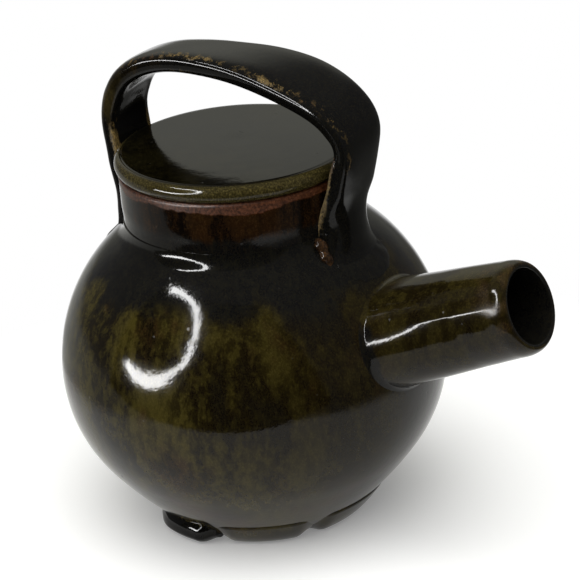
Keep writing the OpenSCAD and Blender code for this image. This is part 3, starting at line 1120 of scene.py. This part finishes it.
@dataclass
class Handle:
    """The pulled strap that arches over the lid, with its ends smeared on the shoulder."""

    globe: Globe
    width: float = 27.0 * MM
    thick: float = 7.8 * MM
    arch_more: float = 1.6 * MM
    arch_z: Fade = fade_mm(166, 178)
    square: float = 3.6
    splay: float = 0.045
    hug_x: float = 52.35 * MM
    end_z: float = 134.0 * MM
    hug_z: float = 140.0 * MM
    heel_pull: float = 8.0 * MM
    toe_pull: float = 10.0 * MM
    front_high: Vector = field(default_factory=lambda: Vector((57.6, 0, 169.2)) * MM)
    rear_high: Vector = field(default_factory=lambda: Vector((55.4, 0, 166.2)) * MM)
    crown: Vector = field(default_factory=lambda: Vector((-8.0, 0, 196.3)) * MM)
    front_full: float = 2.1
    rear_full: float = 2.45
    front_roll: float = math.radians(12)
    front_wide: float = 0.08
    haunch_x: float = 36.0 * MM
    haunch_l: float = 27.0 * MM
    haunch_z: Fade = fade_mm(160, 180)
    rear_roll: float = math.radians(3)
    rear_roll_x: float = -22.0 * MM
    rear_roll_l: float = 18.0 * MM
    rear_roll_z: Fade = fade_mm(165, 182)
    neck_curl: Pair = (4.2 * MM, 2.4 * MM)
    neck_curl_z: Fade = fade_mm(151, 135)
    rear_curl: float = 1.8 * MM
    rear_curl_low: Fade = fade_mm(140, 160)
    rear_curl_high: Fade = fade_mm(196, 180)
    toe_curl: float = 2.4 * MM
    foot_angle: float = math.radians(41)
    foot_sink: float = 1.5 * MM
    foot_spread: Pair = (1.4, 1.05)
    foot_thin: float = 0.22
    foot_thins: Fade = Fade(0.1, 1.0)
    foot_melts: Fade = Fade(0.2, 0.9)
    melt_round: float = 0.8
    heel_fill: float = 3.0 * MM
    heel_low: Fade = Fade(0.0, 0.25)
    heel_high: Fade = Fade(1.0, 0.7)
    bead: float = 1.0 * MM
    bead_z: Fade = fade_mm(170, 158)
    bead_foot: Fade = Fade(0.6, 0.1)
    lump: float = 0.25 * MM
    lump_grain: float = 55.0
    grit: float = 0.14 * MM
    grit_grain: float = 380.0
    foot_steps: int = 20
    leg_steps: int = 24
    arch_steps: int = 32
    sides: int = 56
    wear: StrapWear = StrapWear()

    def _high(self, end: End) -> Vector:
        """Where a leg swells out most."""
        return self.front_high if end is End.FRONT else self.rear_high

    def _half(self, end: End) -> list[tuple[Vector, float]]:
        """Follows one half of the strap from its foot to the crown.

        Args:
            end: Half to follow.

        Returns:
            Points of the middle line, each with how far the strap has spread into its foot.
        """
        side = end.value
        high = self._high(end)
        full = self.front_full if end is End.FRONT else self.rear_full
        points: list[tuple[Vector, float]] = []
        toe = self.globe.shoulder_point(self.foot_angle, -self.foot_sink)
        uphill = Vector((-math.sin(self.foot_angle), 0, math.cos(self.foot_angle)))
        heel = Vector((self.hug_x, 0, self.end_z))
        bend = (heel, heel - Vector((0, 0, self.heel_pull)), toe + uphill * self.toe_pull, toe)
        for k in range(self.foot_steps, 0, -1):
            t = k / self.foot_steps
            spot = (bend[0] * (1 - t) ** 3 + bend[1] * 3 * t * (1 - t) ** 2
                    + bend[2] * 3 * t * t * (1 - t) + bend[3] * t ** 3)
            points.append((Vector((side * spot.x, 0, spot.z)), t))
        for k in range(self.leg_steps + 1):
            z = self.end_z + (high.z - self.end_z) * k / self.leg_steps
            lean = (1 - math.cos(math.pi * max(0.0, z - self.hug_z) / (high.z - self.hug_z))) / 2
            points.append((Vector((side * (self.hug_x + (high.x - self.hug_x) * lean), 0, z)), 0.0))
        reach = high.x - side * self.crown.x
        for k in range(1, self.arch_steps + 1):
            t = math.pi / 2 * k / self.arch_steps
            x = high.x - reach + reach * max(0.0, math.cos(t)) ** (2 / full)
            z = high.z + (self.crown.z - high.z) * math.sin(t) ** (2 / full)
            points.append((Vector((side * x, 0, z)), 0.0))
        return points

    def _haunch(self, spot: Vector) -> float:
        """Share of the front haunch of the arch, where the strap is twisted and widest."""
        near = math.exp(-((spot.x - self.haunch_x) / self.haunch_l) ** 2)
        return near * self.haunch_z.at(spot.z)

    def _roll(self, spot: Vector) -> float:
        """Twist that pulling left in the arch, with the far edge up where it is above 0."""
        rear = math.exp(-((spot.x - self.rear_roll_x) / self.rear_roll_l) ** 2)
        rear *= self.rear_roll_z.at(spot.z)
        return self.front_roll * self._haunch(spot) - self.rear_roll * rear

    def _curl(self, spot: Vector, foot: float) -> float:
        """How far the strap's edges curl in, round the neck and the shoulder."""
        neck_curl = self.neck_curl[0 if spot.x > 0 else 1]
        curl = neck_curl * self.neck_curl_z.at(spot.z)
        if spot.x < 0:
            curl += self.rear_curl * self.rear_curl_low.at(spot.z) * self.rear_curl_high.at(spot.z)
        return curl + (self.toe_curl - neck_curl) * smooth_step(0.0, 1.0, foot)

    def _frame(self, spot: Vector, ahead: Vector, foot: float) -> Matrix:
        """Place of the section at one point of the strap.

        Args:
            spot: Point of the middle line.
            ahead: Direction of the strap there.
            foot: How far the strap has spread into its foot.

        Returns:
            Matrix from the unit section to the frame.
        """
        foot_spread = self.foot_spread[0 if spot.x > 0 else 1]
        spread = 1 + (foot_spread - 1) * smooth_step(0.0, 1.0, foot) + self.front_wide * self._haunch(spot)
        thin = 1 - (1 - self.foot_thin) * self.foot_thins.at(foot)
        more = self.arch_more * self.arch_z.at(spot.z)
        out = Vector((-ahead.z, 0, ahead.x))
        roll = Matrix.Rotation(self._roll(spot), 3, ahead)
        across = roll @ Vector((0, 1, 0)) * self.width / 2 * spread
        deep = roll @ out * (self.thick + more) / 2 * thin
        turn = Matrix((across, deep, ahead)).transposed().to_4x4()
        return Matrix.Translation(spot - out * more / 2) @ turn

    def build(self, finish: Material) -> Object:
        """Sweeps the strap's rounded section along its middle line.

        Args:
            finish: Glaze of the handle.

        Returns:
            The dressed piece.
        """
        line = self._half(End.REAR) + self._half(End.FRONT)[-2::-1]
        frames: list[Matrix] = []
        for i, (spot, foot) in enumerate(line):
            ahead = line[min(i + 1, len(line) - 1)][0] - line[max(i - 1, 0)][0]
            frames.append(self._frame(spot, ahead.normalized(), foot))
        bm = bmesh.new()
        for mask in Mask:
            bm.verts.layers.float.new(mask.value)
        ring = bmesh.ops.create_circle(bm, cap_ends=True, segments=self.sides, radius=1)["verts"]
        power = 2 / self.square
        for vert in ring:
            x, y = vert.co.xy
            y = math.copysign(abs(y) ** power, y)
            vert.co.xy = math.copysign(abs(x) ** power, x) * (1 + self.splay * y), y
        bmesh.ops.transform(bm, matrix=frames[0], verts=ring)
        rings = [list(ring)]
        edges = list(bm.edges)
        for before, after in zip(frames, frames[1:]):
            grown = bmesh.ops.extrude_edge_only(bm, edges=edges)["geom"]
            verts = [g for g in grown if isinstance(g, BMVert)]
            edges = [g for g in grown if isinstance(g, BMEdge) and all(v in verts for v in g.verts)]
            bmesh.ops.transform(bm, matrix=after @ before.inverted(), verts=verts)
            rings.append(verts)
        bmesh.ops.contextual_create(bm, geom=edges)
        self._finish_rings(bm, rings, frames, line)
        bmesh.ops.recalc_face_normals(bm, faces=bm.faces[:])
        piece = new_piece("handle", bm)
        return place(piece, Body.POT, "handle_glaze", finish, "handle_strap")

    def _finish_rings(self, bm: BMesh, rings: list[list[BMVert]], frames: list[Matrix],
                      line: list[tuple[Vector, float]]) -> None:
        """Curls the strap's edges in and writes where its glaze breaks and where it is thick.

        Args:
            bm: Mesh of the strap.
            rings: Points of each section.
            frames: Place of each section.
            line: Middle line of the strap.
        """
        edge_layer = bm.verts.layers.float[Mask.EDGE.value]
        dark_layer = bm.verts.layers.float[Mask.DARK.value]
        for verts, pose, (spot, foot) in zip(rings, frames, line):
            back = pose.inverted()
            curl = self._curl(spot, foot)
            across, deep = pose.col[0].xyz.normalized(), pose.col[1].xyz
            out = deep.normalized()
            melt = self.foot_melts.at(foot)
            fill = self.heel_fill * self.heel_low.at(foot) * self.heel_high.at(foot)
            leg = self.bead_z.at(spot.z) * self.bead_foot.at(foot) * (spot.x > 0)
            for vert in verts:
                u, v = (back @ vert.co).xy
                lean = abs(v) ** self.square - abs(u) ** self.square
                vert[edge_layer] = self.wear.broken(vert.co, lean, v < 0, u < 0)
                vert[dark_layer] = self.wear.thick(vert.co, u)
                lump = self.lump * noise.noise(vert.co * self.lump_grain)
                lump += self.grit * vert[edge_layer] * noise.noise(vert.co * self.grit_grain)
                if v > 0:
                    vert.co += deep * melt * (max(0.0, 1 - u * u) ** self.melt_round - v)
                elif u < 0:
                    vert.co -= (across + out) * self.bead * leg * vert[edge_layer]
                vert.co -= out * (curl * u * u + max(0.0, lump) + (fill if v < 0 else 0.0))


@dataclass
class Wad:
    """The clay that is pressed round one foot of the handle."""

    globe: Globe
    end: End
    middle_angle: float = math.radians(47)
    length: float = 23.0 * MM
    width: float = 33.0 * MM
    height: float = 1.0 * MM
    grain: float = 0.45 * MM
    smears: int = 6
    rough: float = 0.22 * MM
    rough_grain: float = 240.0
    lump_top: Vector = field(default_factory=lambda: Vector((46.6, -15.6, 130.6)) * MM)
    lump_toe: Vector = field(default_factory=lambda: Vector((51.4, -16.8, 121.6)) * MM)
    knots: tuple[float, ...] = tuple(r * MM for r in (1.7, 2.4, 2.6, 2.1, 1.9, 2.3, 2.4, 2.0, 1.4))
    knot_sway: float = 0.35 * MM
    gold: Fade = Fade(1.7, 1.0)
    gold_share: float = 0.8

    def build(self, finish: Material) -> Object:
        """Melts the mound and its lumps together.

        Args:
            finish: Glaze of the handle.

        Returns:
            The dressed piece.
        """
        lumps = self._lumps()
        bm = bmesh.new()
        spot = self.globe.shoulder_point(self.middle_angle)
        lean = Matrix.Rotation(math.pi / 2 - self.middle_angle, 4, "Y")
        size = Matrix.Diagonal((self.length / 2, self.width / 2, self.height / 2, 1))
        flip = Matrix.Diagonal((self.end.value, 1, 1, 1))
        mound = bmesh.ops.create_uvsphere(bm, u_segments=64, v_segments=32, radius=1, matrix=size)["verts"]
        round_r = spot.x / math.cos(self.middle_angle)
        for vert in mound:
            vert.co.z -= vert.co.x ** 2 / (2 * self.globe.shoulder_arc) + vert.co.y ** 2 / (2 * round_r)
        bmesh.ops.transform(bm, matrix=flip @ Matrix.Translation(spot) @ lean, verts=mound)
        for at, r in lumps:
            bmesh.ops.create_icosphere(bm, subdivisions=4, radius=r, matrix=flip @ Matrix.Translation(at))
        bmesh.ops.recalc_face_normals(bm, faces=bm.faces[:])
        name = f"{self.end.name.lower()}_wad"
        piece = new_piece(name, bm)
        melt = piece.modifiers.new("melt", "REMESH")
        melt.mode = "VOXEL"
        melt.voxel_size = self.grain
        smear = piece.modifiers.new("smear", "SMOOTH")
        smear.iterations = self.smears
        settle(piece)
        for vert in piece.data.vertices:
            vert.co += vert.normal * self.rough * noise.noise(vert.co * self.rough_grain)
        paint(piece, Mask.EDGE, lambda co: self.gold_share * max(
            (self.gold.at((co - at).length / r) for at, r in lumps), default=0.0))
        paint(piece, Mask.DARK, lambda co: 1.0)
        return place(piece, Body.POT, "handle_glaze", finish, f"handle_{name.replace('wad', 'pad')}")

    def _lumps(self) -> list[tuple[Vector, float]]:
        """Places and radii of the thumbed lumps, which are beside the front foot of the strap only."""
        lumps: list[tuple[Vector, float]] = []
        for k, r in enumerate(self.knots if self.end is End.FRONT else ()):
            at = self.lump_top.lerp(self.lump_toe, k / (len(self.knots) - 1))
            at.y -= self.knot_sway * (-1) ** (k // 2)
            lumps.append((at, r))
        return lumps


@dataclass(frozen=True)
class Lobe:
    """Shape of one lobe of the foot: its widest level, its taper to the tread and how its end recedes."""

    bulge: float
    outer: float = 52.0 * MM
    brow_z: float = 12.4 * MM
    overlap: float = 6.4 * MM
    taper: float = 8.6 * MM
    shear: float = 1.0
    plump: float = 3.2
    recede: float = 0.0
    # Share of dark glaze. On the black lobe it is a painted reflection of the dark surroundings.
    dark: float = 0.1


# Toe-like lobe whose glaze is painted black all over, a painted reflection of the dark surroundings that
# its upturned face mirrors.
PAINTED_BLACK_LOBE = Lobe(
    2.6 * MM, outer=47.3 * MM, brow_z=3.6 * MM, overlap=4.0 * MM, taper=2.0 * MM, shear=0.0, plump=2.5,
    recede=4.0 * MM, dark=1.0)


@dataclass
class Foot:
    """The foot ring, pinched into soft lobes that the pot stands on."""

    globe: Globe
    width: float = 13.0 * MM
    seam: float = 0.2 * MM
    turn: float = math.radians(276)
    pinch: float = 1.3 * MM
    scoop: float = 2.2 * MM
    end_from: Fade = Fade(0.66, 1.0)
    recede_from: Fade = Fade(-0.1, -1.0)
    grid: int = 23
    lobes: tuple[Lobe, ...] = (*(Lobe(bulge * MM) for bulge in (0.1, 0.2, 0.5, 0.3, 0.4, 0.3)), PAINTED_BLACK_LOBE)

    def build(self, finish: Material) -> list[Object]:
        """Shapes each lobe.

        Args:
            finish: Glaze of the foot.

        Returns:
            The dressed lobes, in the order of their CAD nodes.
        """
        return [self._shape(i, lobe, finish) for i, lobe in enumerate(self.lobes)]

    def _shape(self, index: int, lobe: Lobe, finish: Material) -> Object:
        """Bends a plump bar round the ring and lifts its ends off the table.

        Args:
            index: Number of the lobe, from 0.
            lobe: Shape of the lobe.
            finish: Glaze of the foot.

        Returns:
            The dressed lobe.
        """
        bm = bmesh.new()
        bmesh.ops.create_cube(bm, size=2)
        bmesh.ops.subdivide_edges(bm, edges=bm.edges[:], cuts=self.grid, use_grid_fill=True)
        pitch = math.tau / len(self.lobes)
        middle = self.turn + (index + 0.5) * pitch
        half_turn = pitch / 2 - self.seam / 2 / lobe.outer
        top = self.globe.base_z + lobe.overlap
        for vert in bm.verts:
            u, v, w = vert.co
            norm = (abs(v) ** lobe.plump + abs(w) ** lobe.plump) ** (1 / lobe.plump)
            round_off = max(abs(v), abs(w)) / norm if norm else 1.0
            v, w = v * round_off, w * round_off
            end = self.end_from.at(abs(u))
            outward = max(0.0, v)
            swell = (1 - end) * lobe.bulge - end * self.pinch - lobe.recede * self.recede_from.at(u)
            lean = min(0.0, w) * lobe.taper * (lobe.shear + (1 - lobe.shear) * outward)
            r = lobe.outer - self.width * (1 - v) / 2 + lean + outward * swell
            z = lobe.brow_z + w * (lobe.brow_z if w < 0 else top - lobe.brow_z)
            z += self.scoop * end * (1 - z / top)
            angle = middle + u * half_turn
            vert.co = (r * math.cos(angle), r * math.sin(angle), z)
        bmesh.ops.recalc_face_normals(bm, faces=bm.faces[:])
        piece = new_piece(f"foot_lobe_{index + 1}", bm)
        # Dark mask: a little dark glaze on most lobes, a painted reflection on the black one.
        paint(piece, Mask.DARK, lambda co: lobe.dark)
        return place(piece, Body.POT, "foot_glaze", finish, f"foot_{index + 1}")


@dataclass
class Studio:
    """Pale floor, soft light, the dark open side of a light tent and the camera."""

    floor_r: float = 1.2
    floor_ahead: float = 0.06
    floor_fade: Pair = (0.20, 0.29)
    floor_colour: Colour = (0.92, 0.92, 0.90)
    floor_rough: float = 0.9
    floor_lift: float = 0.20
    eye: Vector = field(default_factory=lambda: Vector((574.0, -814.7, 523.8)) * MM)
    azimuth: float = math.radians(34.2)
    elevation: float = math.radians(23.32)
    roll: float = math.radians(-4.88)
    lens: float = 163.56
    lamp_azimuth: float = math.radians(-121.5)
    lamp_elevation: float = math.radians(29.5)
    lamp_far: float = 0.8
    lamp_reach: float = math.radians(25.5)
    lamp_tube: float = math.radians(2.4)
    lamp_turn: Pair = (math.radians(-127), math.radians(116))
    lamp_squeeze: float = 0.88
    lamp_thin: float = 0.83
    lamp_bulge: float = 0.95
    lamp_bulge_at: float = math.radians(-80)
    lamp_bulge_l: float = 0.5
    lamp_glow: float = 60.0
    unlit: Colour = (0.004, 0.004, 0.004)
    opening_turn: Pair = (math.radians(-145), math.radians(-12))
    opening_far: float = 1.0
    opening_low: float = 1.0 * MM
    opening_top: float = 1.75
    edge_low: Pair = (math.radians(-20), math.radians(5))
    edge_high: Pair = (math.radians(-42), math.radians(55))
    sill_azimuth: float = math.radians(-75.6)
    sill_far: float = 0.246
    sill_spare: float = 0.9
    top_at: Vector = field(default_factory=lambda: Vector((0.25, -0.5, 1.6)))
    top_size: float = 2.2
    top_power: float = 40.0
    white: Colour = (1.0, 1.0, 1.0)
    wall_low: Colour = (0.27, 0.27, 0.24)
    wall_high: Colour = (0.78, 0.78, 0.69)
    wall_rise: Pair = (0.05, 0.55)
    wall_aside: Pair = (0.65, 0.35)
    ceiling: Colour = (0.22, 0.22, 0.225)
    ceiling_rise: Pair = (0.60, 0.85)
    room: Colour = (0.17, 0.17, 0.175)
    cloth_left: Colour = (0.55, 0.55, 0.52)
    cloth_right: Colour = (0.15, 0.15, 0.14)
    cloth_turn: Pair = (-0.3, 0.3)
    cloth_aside: Pair = (0.34, 0.17)
    ahead_from: Pair = (0.0, 0.3)
    horizon: Pair = (-0.14, 0.02)
    pot_middle: Vector = field(default_factory=lambda: Vector((0, 0, 0.07)))

    def build(self) -> None:
        """Sets the stage."""
        self._world()
        self._floor()
        self._top_light()
        self._mirror_only(self._ring_lamp(), "ring_lamp", self.lamp_glow)
        self._mirror_only(self._tent_opening(), "tent_opening", 0.0)
        self._camera()
        bpy.context.scene.view_settings.view_transform = "Standard"

    def _camera(self) -> None:
        """Puts the camera at the photograph's angle."""
        sin_a, cos_a = math.sin(self.azimuth), math.cos(self.azimuth)
        sin_e, cos_e = math.sin(self.elevation), math.cos(self.elevation)
        right = Vector((cos_a, sin_a, 0))
        up = Vector((-sin_a * sin_e, cos_a * sin_e, cos_e))
        back = Vector((sin_a * cos_e, -cos_a * cos_e, sin_e))
        level = Matrix((right, up, back)).transposed()
        data = bpy.data.cameras.new("camera")
        data.lens = self.lens
        camera = bpy.data.objects.new("camera", data)
        turn = level @ Matrix.Rotation(self.roll, 3, "Z")
        camera.matrix_world = Matrix.Translation(self.eye) @ turn.to_4x4()
        bpy.context.scene.collection.objects.link(camera)
        bpy.context.scene.camera = camera

    def _world(self) -> None:
        """Surroundings: white behind the pot, dimmer to the sides and towards the ceiling."""
        world = bpy.data.worlds.new("tent")
        bpy.context.scene.world = world
        world.use_nodes = True
        desk = NodeDesk(world.node_tree)
        way = desk.add("ShaderNodeTexCoord").outputs["Generated"]
        part = desk.add("ShaderNodeSeparateXYZ")
        desk.feed(part.inputs[0], way)
        rise = part.outputs["Z"]
        sin_a, cos_a = math.sin(self.azimuth), math.cos(self.azimuth)
        ahead = desk.span(desk.along(way, (-sin_a, cos_a, 0)), *self.ahead_from)
        right = desk.along(way, (cos_a, sin_a, 0))
        aside = desk.calc("ABSOLUTE", right)
        wall = desk.blend(desk.span(rise, *self.wall_rise), self.wall_low, self.wall_high)
        wall = desk.blend(desk.span(rise, *self.ceiling_rise), wall, self.ceiling)
        wall_near = desk.calc("MULTIPLY", ahead, desk.span(aside, *self.wall_aside))
        upper = desk.blend(wall_near, self.room, wall)
        cloth_near = desk.calc("MULTIPLY", ahead, desk.span(aside, *self.cloth_aside))
        cloth = desk.blend(desk.span(right, *self.cloth_turn), self.cloth_left, self.cloth_right)
        lower = desk.blend(cloth_near, cloth, self.white)
        shade = desk.blend(desk.span(rise, *self.horizon), lower, upper)
        desk.feed(world.node_tree.nodes["Background"].inputs["Color"], shade)

    def _floor(self) -> None:
        """Pale floor that fades into the surroundings."""
        bm = bmesh.new()
        bmesh.ops.create_circle(bm, cap_ends=True, segments=96, radius=self.floor_r)
        floor = new_piece("floor", bm)
        material, desk, shader = new_finish("pale_floor")
        shader.inputs["Base Color"].default_value = (*self.floor_colour, 1)
        shader.inputs["Roughness"].default_value = self.floor_rough
        shader.inputs["Emission Color"].default_value = (*self.white, 1)
        rays = desk.add("ShaderNodeLightPath").outputs
        seen = desk.calc("MAXIMUM", rays["Is Camera Ray"], rays["Is Glossy Ray"])
        seen = desk.calc("MAXIMUM", seen, rays["Is Transmission Ray"])
        desk.feed(shader.inputs["Emission Strength"], desk.calc("MULTIPLY", seen, self.floor_lift))
        shader.inputs["Specular IOR Level"].default_value = 0.0
        centre = desk.add("ShaderNodeMapping")
        desk.feed(centre.inputs["Vector"], desk.spot())
        nearer = Vector((-math.sin(self.azimuth), math.cos(self.azimuth), 0)) * self.floor_ahead
        centre.inputs["Location"].default_value = nearer
        far = desk.add("ShaderNodeVectorMath", operation="LENGTH")
        desk.feed(far.inputs[0], centre.outputs[0])
        fade = desk.span(far.outputs["Value"], *self.floor_fade)
        desk.feed(shader.inputs["Alpha"], desk.calc("SUBTRACT", 1.0, fade))
        floor.data.materials.append(material)

    def _top_light(self) -> None:
        """Soft light from above."""
        data = bpy.data.lights.new("soft_top", "AREA")
        data.shape = "DISK"
        data.size = self.top_size
        data.energy = self.top_power
        top = bpy.data.objects.new("soft_top", data)
        top.location = self.top_at
        top.rotation_euler = (-self.top_at).to_track_quat("-Z", "Y").to_euler()
        top.visible_glossy = False
        top.visible_camera = False
        bpy.context.scene.collection.objects.link(top)

    def _mirror_only(self, bm: BMesh, name: str, glow: float) -> None:
        """Adds a stage piece that only reflections see, glowing or black."""
        piece = new_piece(name, bm)
        material, _, shader = new_finish(name)
        shader.inputs["Base Color"].default_value = (*self.unlit, 1)
        shader.inputs["Roughness"].default_value = 1.0
        shader.inputs["Specular IOR Level"].default_value = 0.0
        shader.inputs["Emission Color"].default_value = (*self.white, 1)
        shader.inputs["Emission Strength"].default_value = glow
        piece.data.materials.append(material)
        piece.visible_camera = False
        piece.visible_diffuse = False
        piece.visible_shadow = False

    def _way(self, azimuth: float, elevation: float) -> Vector:
        """Direction of an azimuth, counted from +X towards +Y, and an elevation."""
        level = math.cos(elevation)
        return Vector((math.cos(azimuth) * level, math.sin(azimuth) * level, math.sin(elevation)))

    def _ring_lamp(self) -> BMesh:
        """Open ring of a lamp, facing the pot and thickest below."""
        bm = bmesh.new()
        reach = self.lamp_far * math.tan(self.lamp_reach)
        tube = self.lamp_far * math.tan(self.lamp_tube)
        ring = bmesh.ops.create_circle(
            bm, cap_ends=False, segments=12, radius=tube,
            matrix=Matrix.Translation((reach, 0, 0)) @ Matrix.Rotation(math.pi / 2, 4, "X"))["verts"]
        first, last = self.lamp_turn
        bmesh.ops.rotate(bm, verts=ring, cent=(0, 0, 0), matrix=Matrix.Rotation(first, 3, "Z"))
        bmesh.ops.spin(
            bm, geom=bm.verts[:] + bm.edges[:], cent=(0, 0, 0), axis=(0, 0, 1),
            angle=last - first, steps=48, use_merge=False)
        for vert in bm.verts:
            turn = math.atan2(vert.co.y, vert.co.x)
            core = Vector((math.cos(turn), math.sin(turn), 0)) * reach
            bulge = math.exp(-((turn - self.lamp_bulge_at) / self.lamp_bulge_l) ** 2)
            vert.co = core + (vert.co - core) * (self.lamp_thin + self.lamp_bulge * bulge)
            vert.co.x *= self.lamp_squeeze
        away = self._way(self.lamp_azimuth, self.lamp_elevation)
        turn = away.to_track_quat("Z", "Y").to_matrix().to_4x4()
        centre = self.pot_middle + away * self.lamp_far
        bmesh.ops.transform(bm, matrix=Matrix.Translation(centre) @ turn, verts=bm.verts[:])
        return bm

    def _tent_opening(self) -> BMesh:
        """Dark open side of the tent: the room's floor beyond a straight sill, and a wall behind it."""
        lathe = Lathe(self.sill_far * self.sill_spare, self.opening_low)
        lathe.line_to(self.opening_far, self.opening_low, cuts=6)
        lathe.line_to(self.opening_far, self.opening_top, cuts=6)
        bm = lathe.bm
        first, last = self.opening_turn
        bmesh.ops.rotate(bm, verts=bm.verts[:], cent=(0, 0, 0), matrix=Matrix.Rotation(first, 3, "Z"))
        bmesh.ops.spin(
            bm, geom=bm.verts[:] + bm.edges[:], cent=(0, 0, 0), axis=(0, 0, 1),
            angle=last - first, steps=64, use_merge=False)
        sill = self._way(self.sill_azimuth, 0)
        edge = self._way(*self.edge_low).cross(self._way(*self.edge_high))
        for spot, keep in ((sill * self.sill_far, sill), (self.pot_middle, edge)):
            bmesh.ops.bisect_plane(
                bm, geom=bm.verts[:] + bm.edges[:] + bm.faces[:], plane_co=spot, plane_no=keep,
                clear_inner=True)
        return bm


GLOBE_GLAZE = Glaze("globe_glaze")
SPOUT_GLAZE = Glaze(
    "spout_glaze", broken=(0.075, 0.040, 0.014), painted_shade_share=0.42, body_share=0.8, edge_dull=0.35,
    refraction=1.24)
LID_GLAZE = Glaze(
    "lid_glaze", deep=(0.0010, 0.0008, 0.0003), body=(0.0036, 0.0030, 0.0009),
    blot=(0.0036, 0.0028, 0.0009), speck=(0.055, 0.044, 0.014), broken=(0.080, 0.064, 0.020),
    rust=(0.062, 0.047, 0.014), speck_share=0.16, painted_shade_share=0.7, edge_dull=0.0)
HANDLE_GLAZE = Glaze(
    "handle_glaze", body=(0.026, 0.020, 0.0075), broken=(0.25, 0.165, 0.048), rust=(0.12, 0.055, 0.016),
    haze=(0.0055, 0.0055, 0.0052), speck_share=0.3, edge_dull=0.6, edge_least=0.35, edge_crawl=0.7,
    refraction=1.24)
PAD_GLAZE = Glaze(
    "pad_glaze", broken=(0.080, 0.036, 0.013), rust=(0.035, 0.013, 0.005), speck_share=0.3,
    edge_dull=0.04, edge_crawl=0.4)
FOOT_GLAZE = Glaze("foot_glaze")


def neck_glaze(neck: Neck) -> NeckGlaze:
    """Glaze of the neck, with its bare band measured from the rim."""
    return NeckGlaze(
        "neck_glaze", deep=(0.0026, 0.0016, 0.0012), body=(0.019, 0.0080, 0.0026),
        speck=(0.11, 0.060, 0.018), speck_share=0.22, painted_shade_share=0.7, streak_scale=110.0,
        rim_z=neck.rim_z)


def main() -> None:
    """Builds the pot piece by piece and sets the stage."""
    logging.basicConfig(level=logging.INFO, format="%(name)s: %(message)s")
    globe, neck, lid = Globe(), Neck(), Lid()
    spout = Spout(globe)
    glazed_pads = PAD_GLAZE.material()
    globe.build(spout, GLOBE_GLAZE.material())
    neck.build(neck_glaze(neck).material())
    lid.build(LID_GLAZE.material(), BareClay().material())
    spout.build(SPOUT_GLAZE.material())
    Handle(globe).build(HANDLE_GLAZE.material())
    for end in End:
        Wad(globe, end).build(glazed_pads)
    Foot(globe).build(FOOT_GLAZE.material())
    Studio().build()


if __name__ == "__main__":
    main()
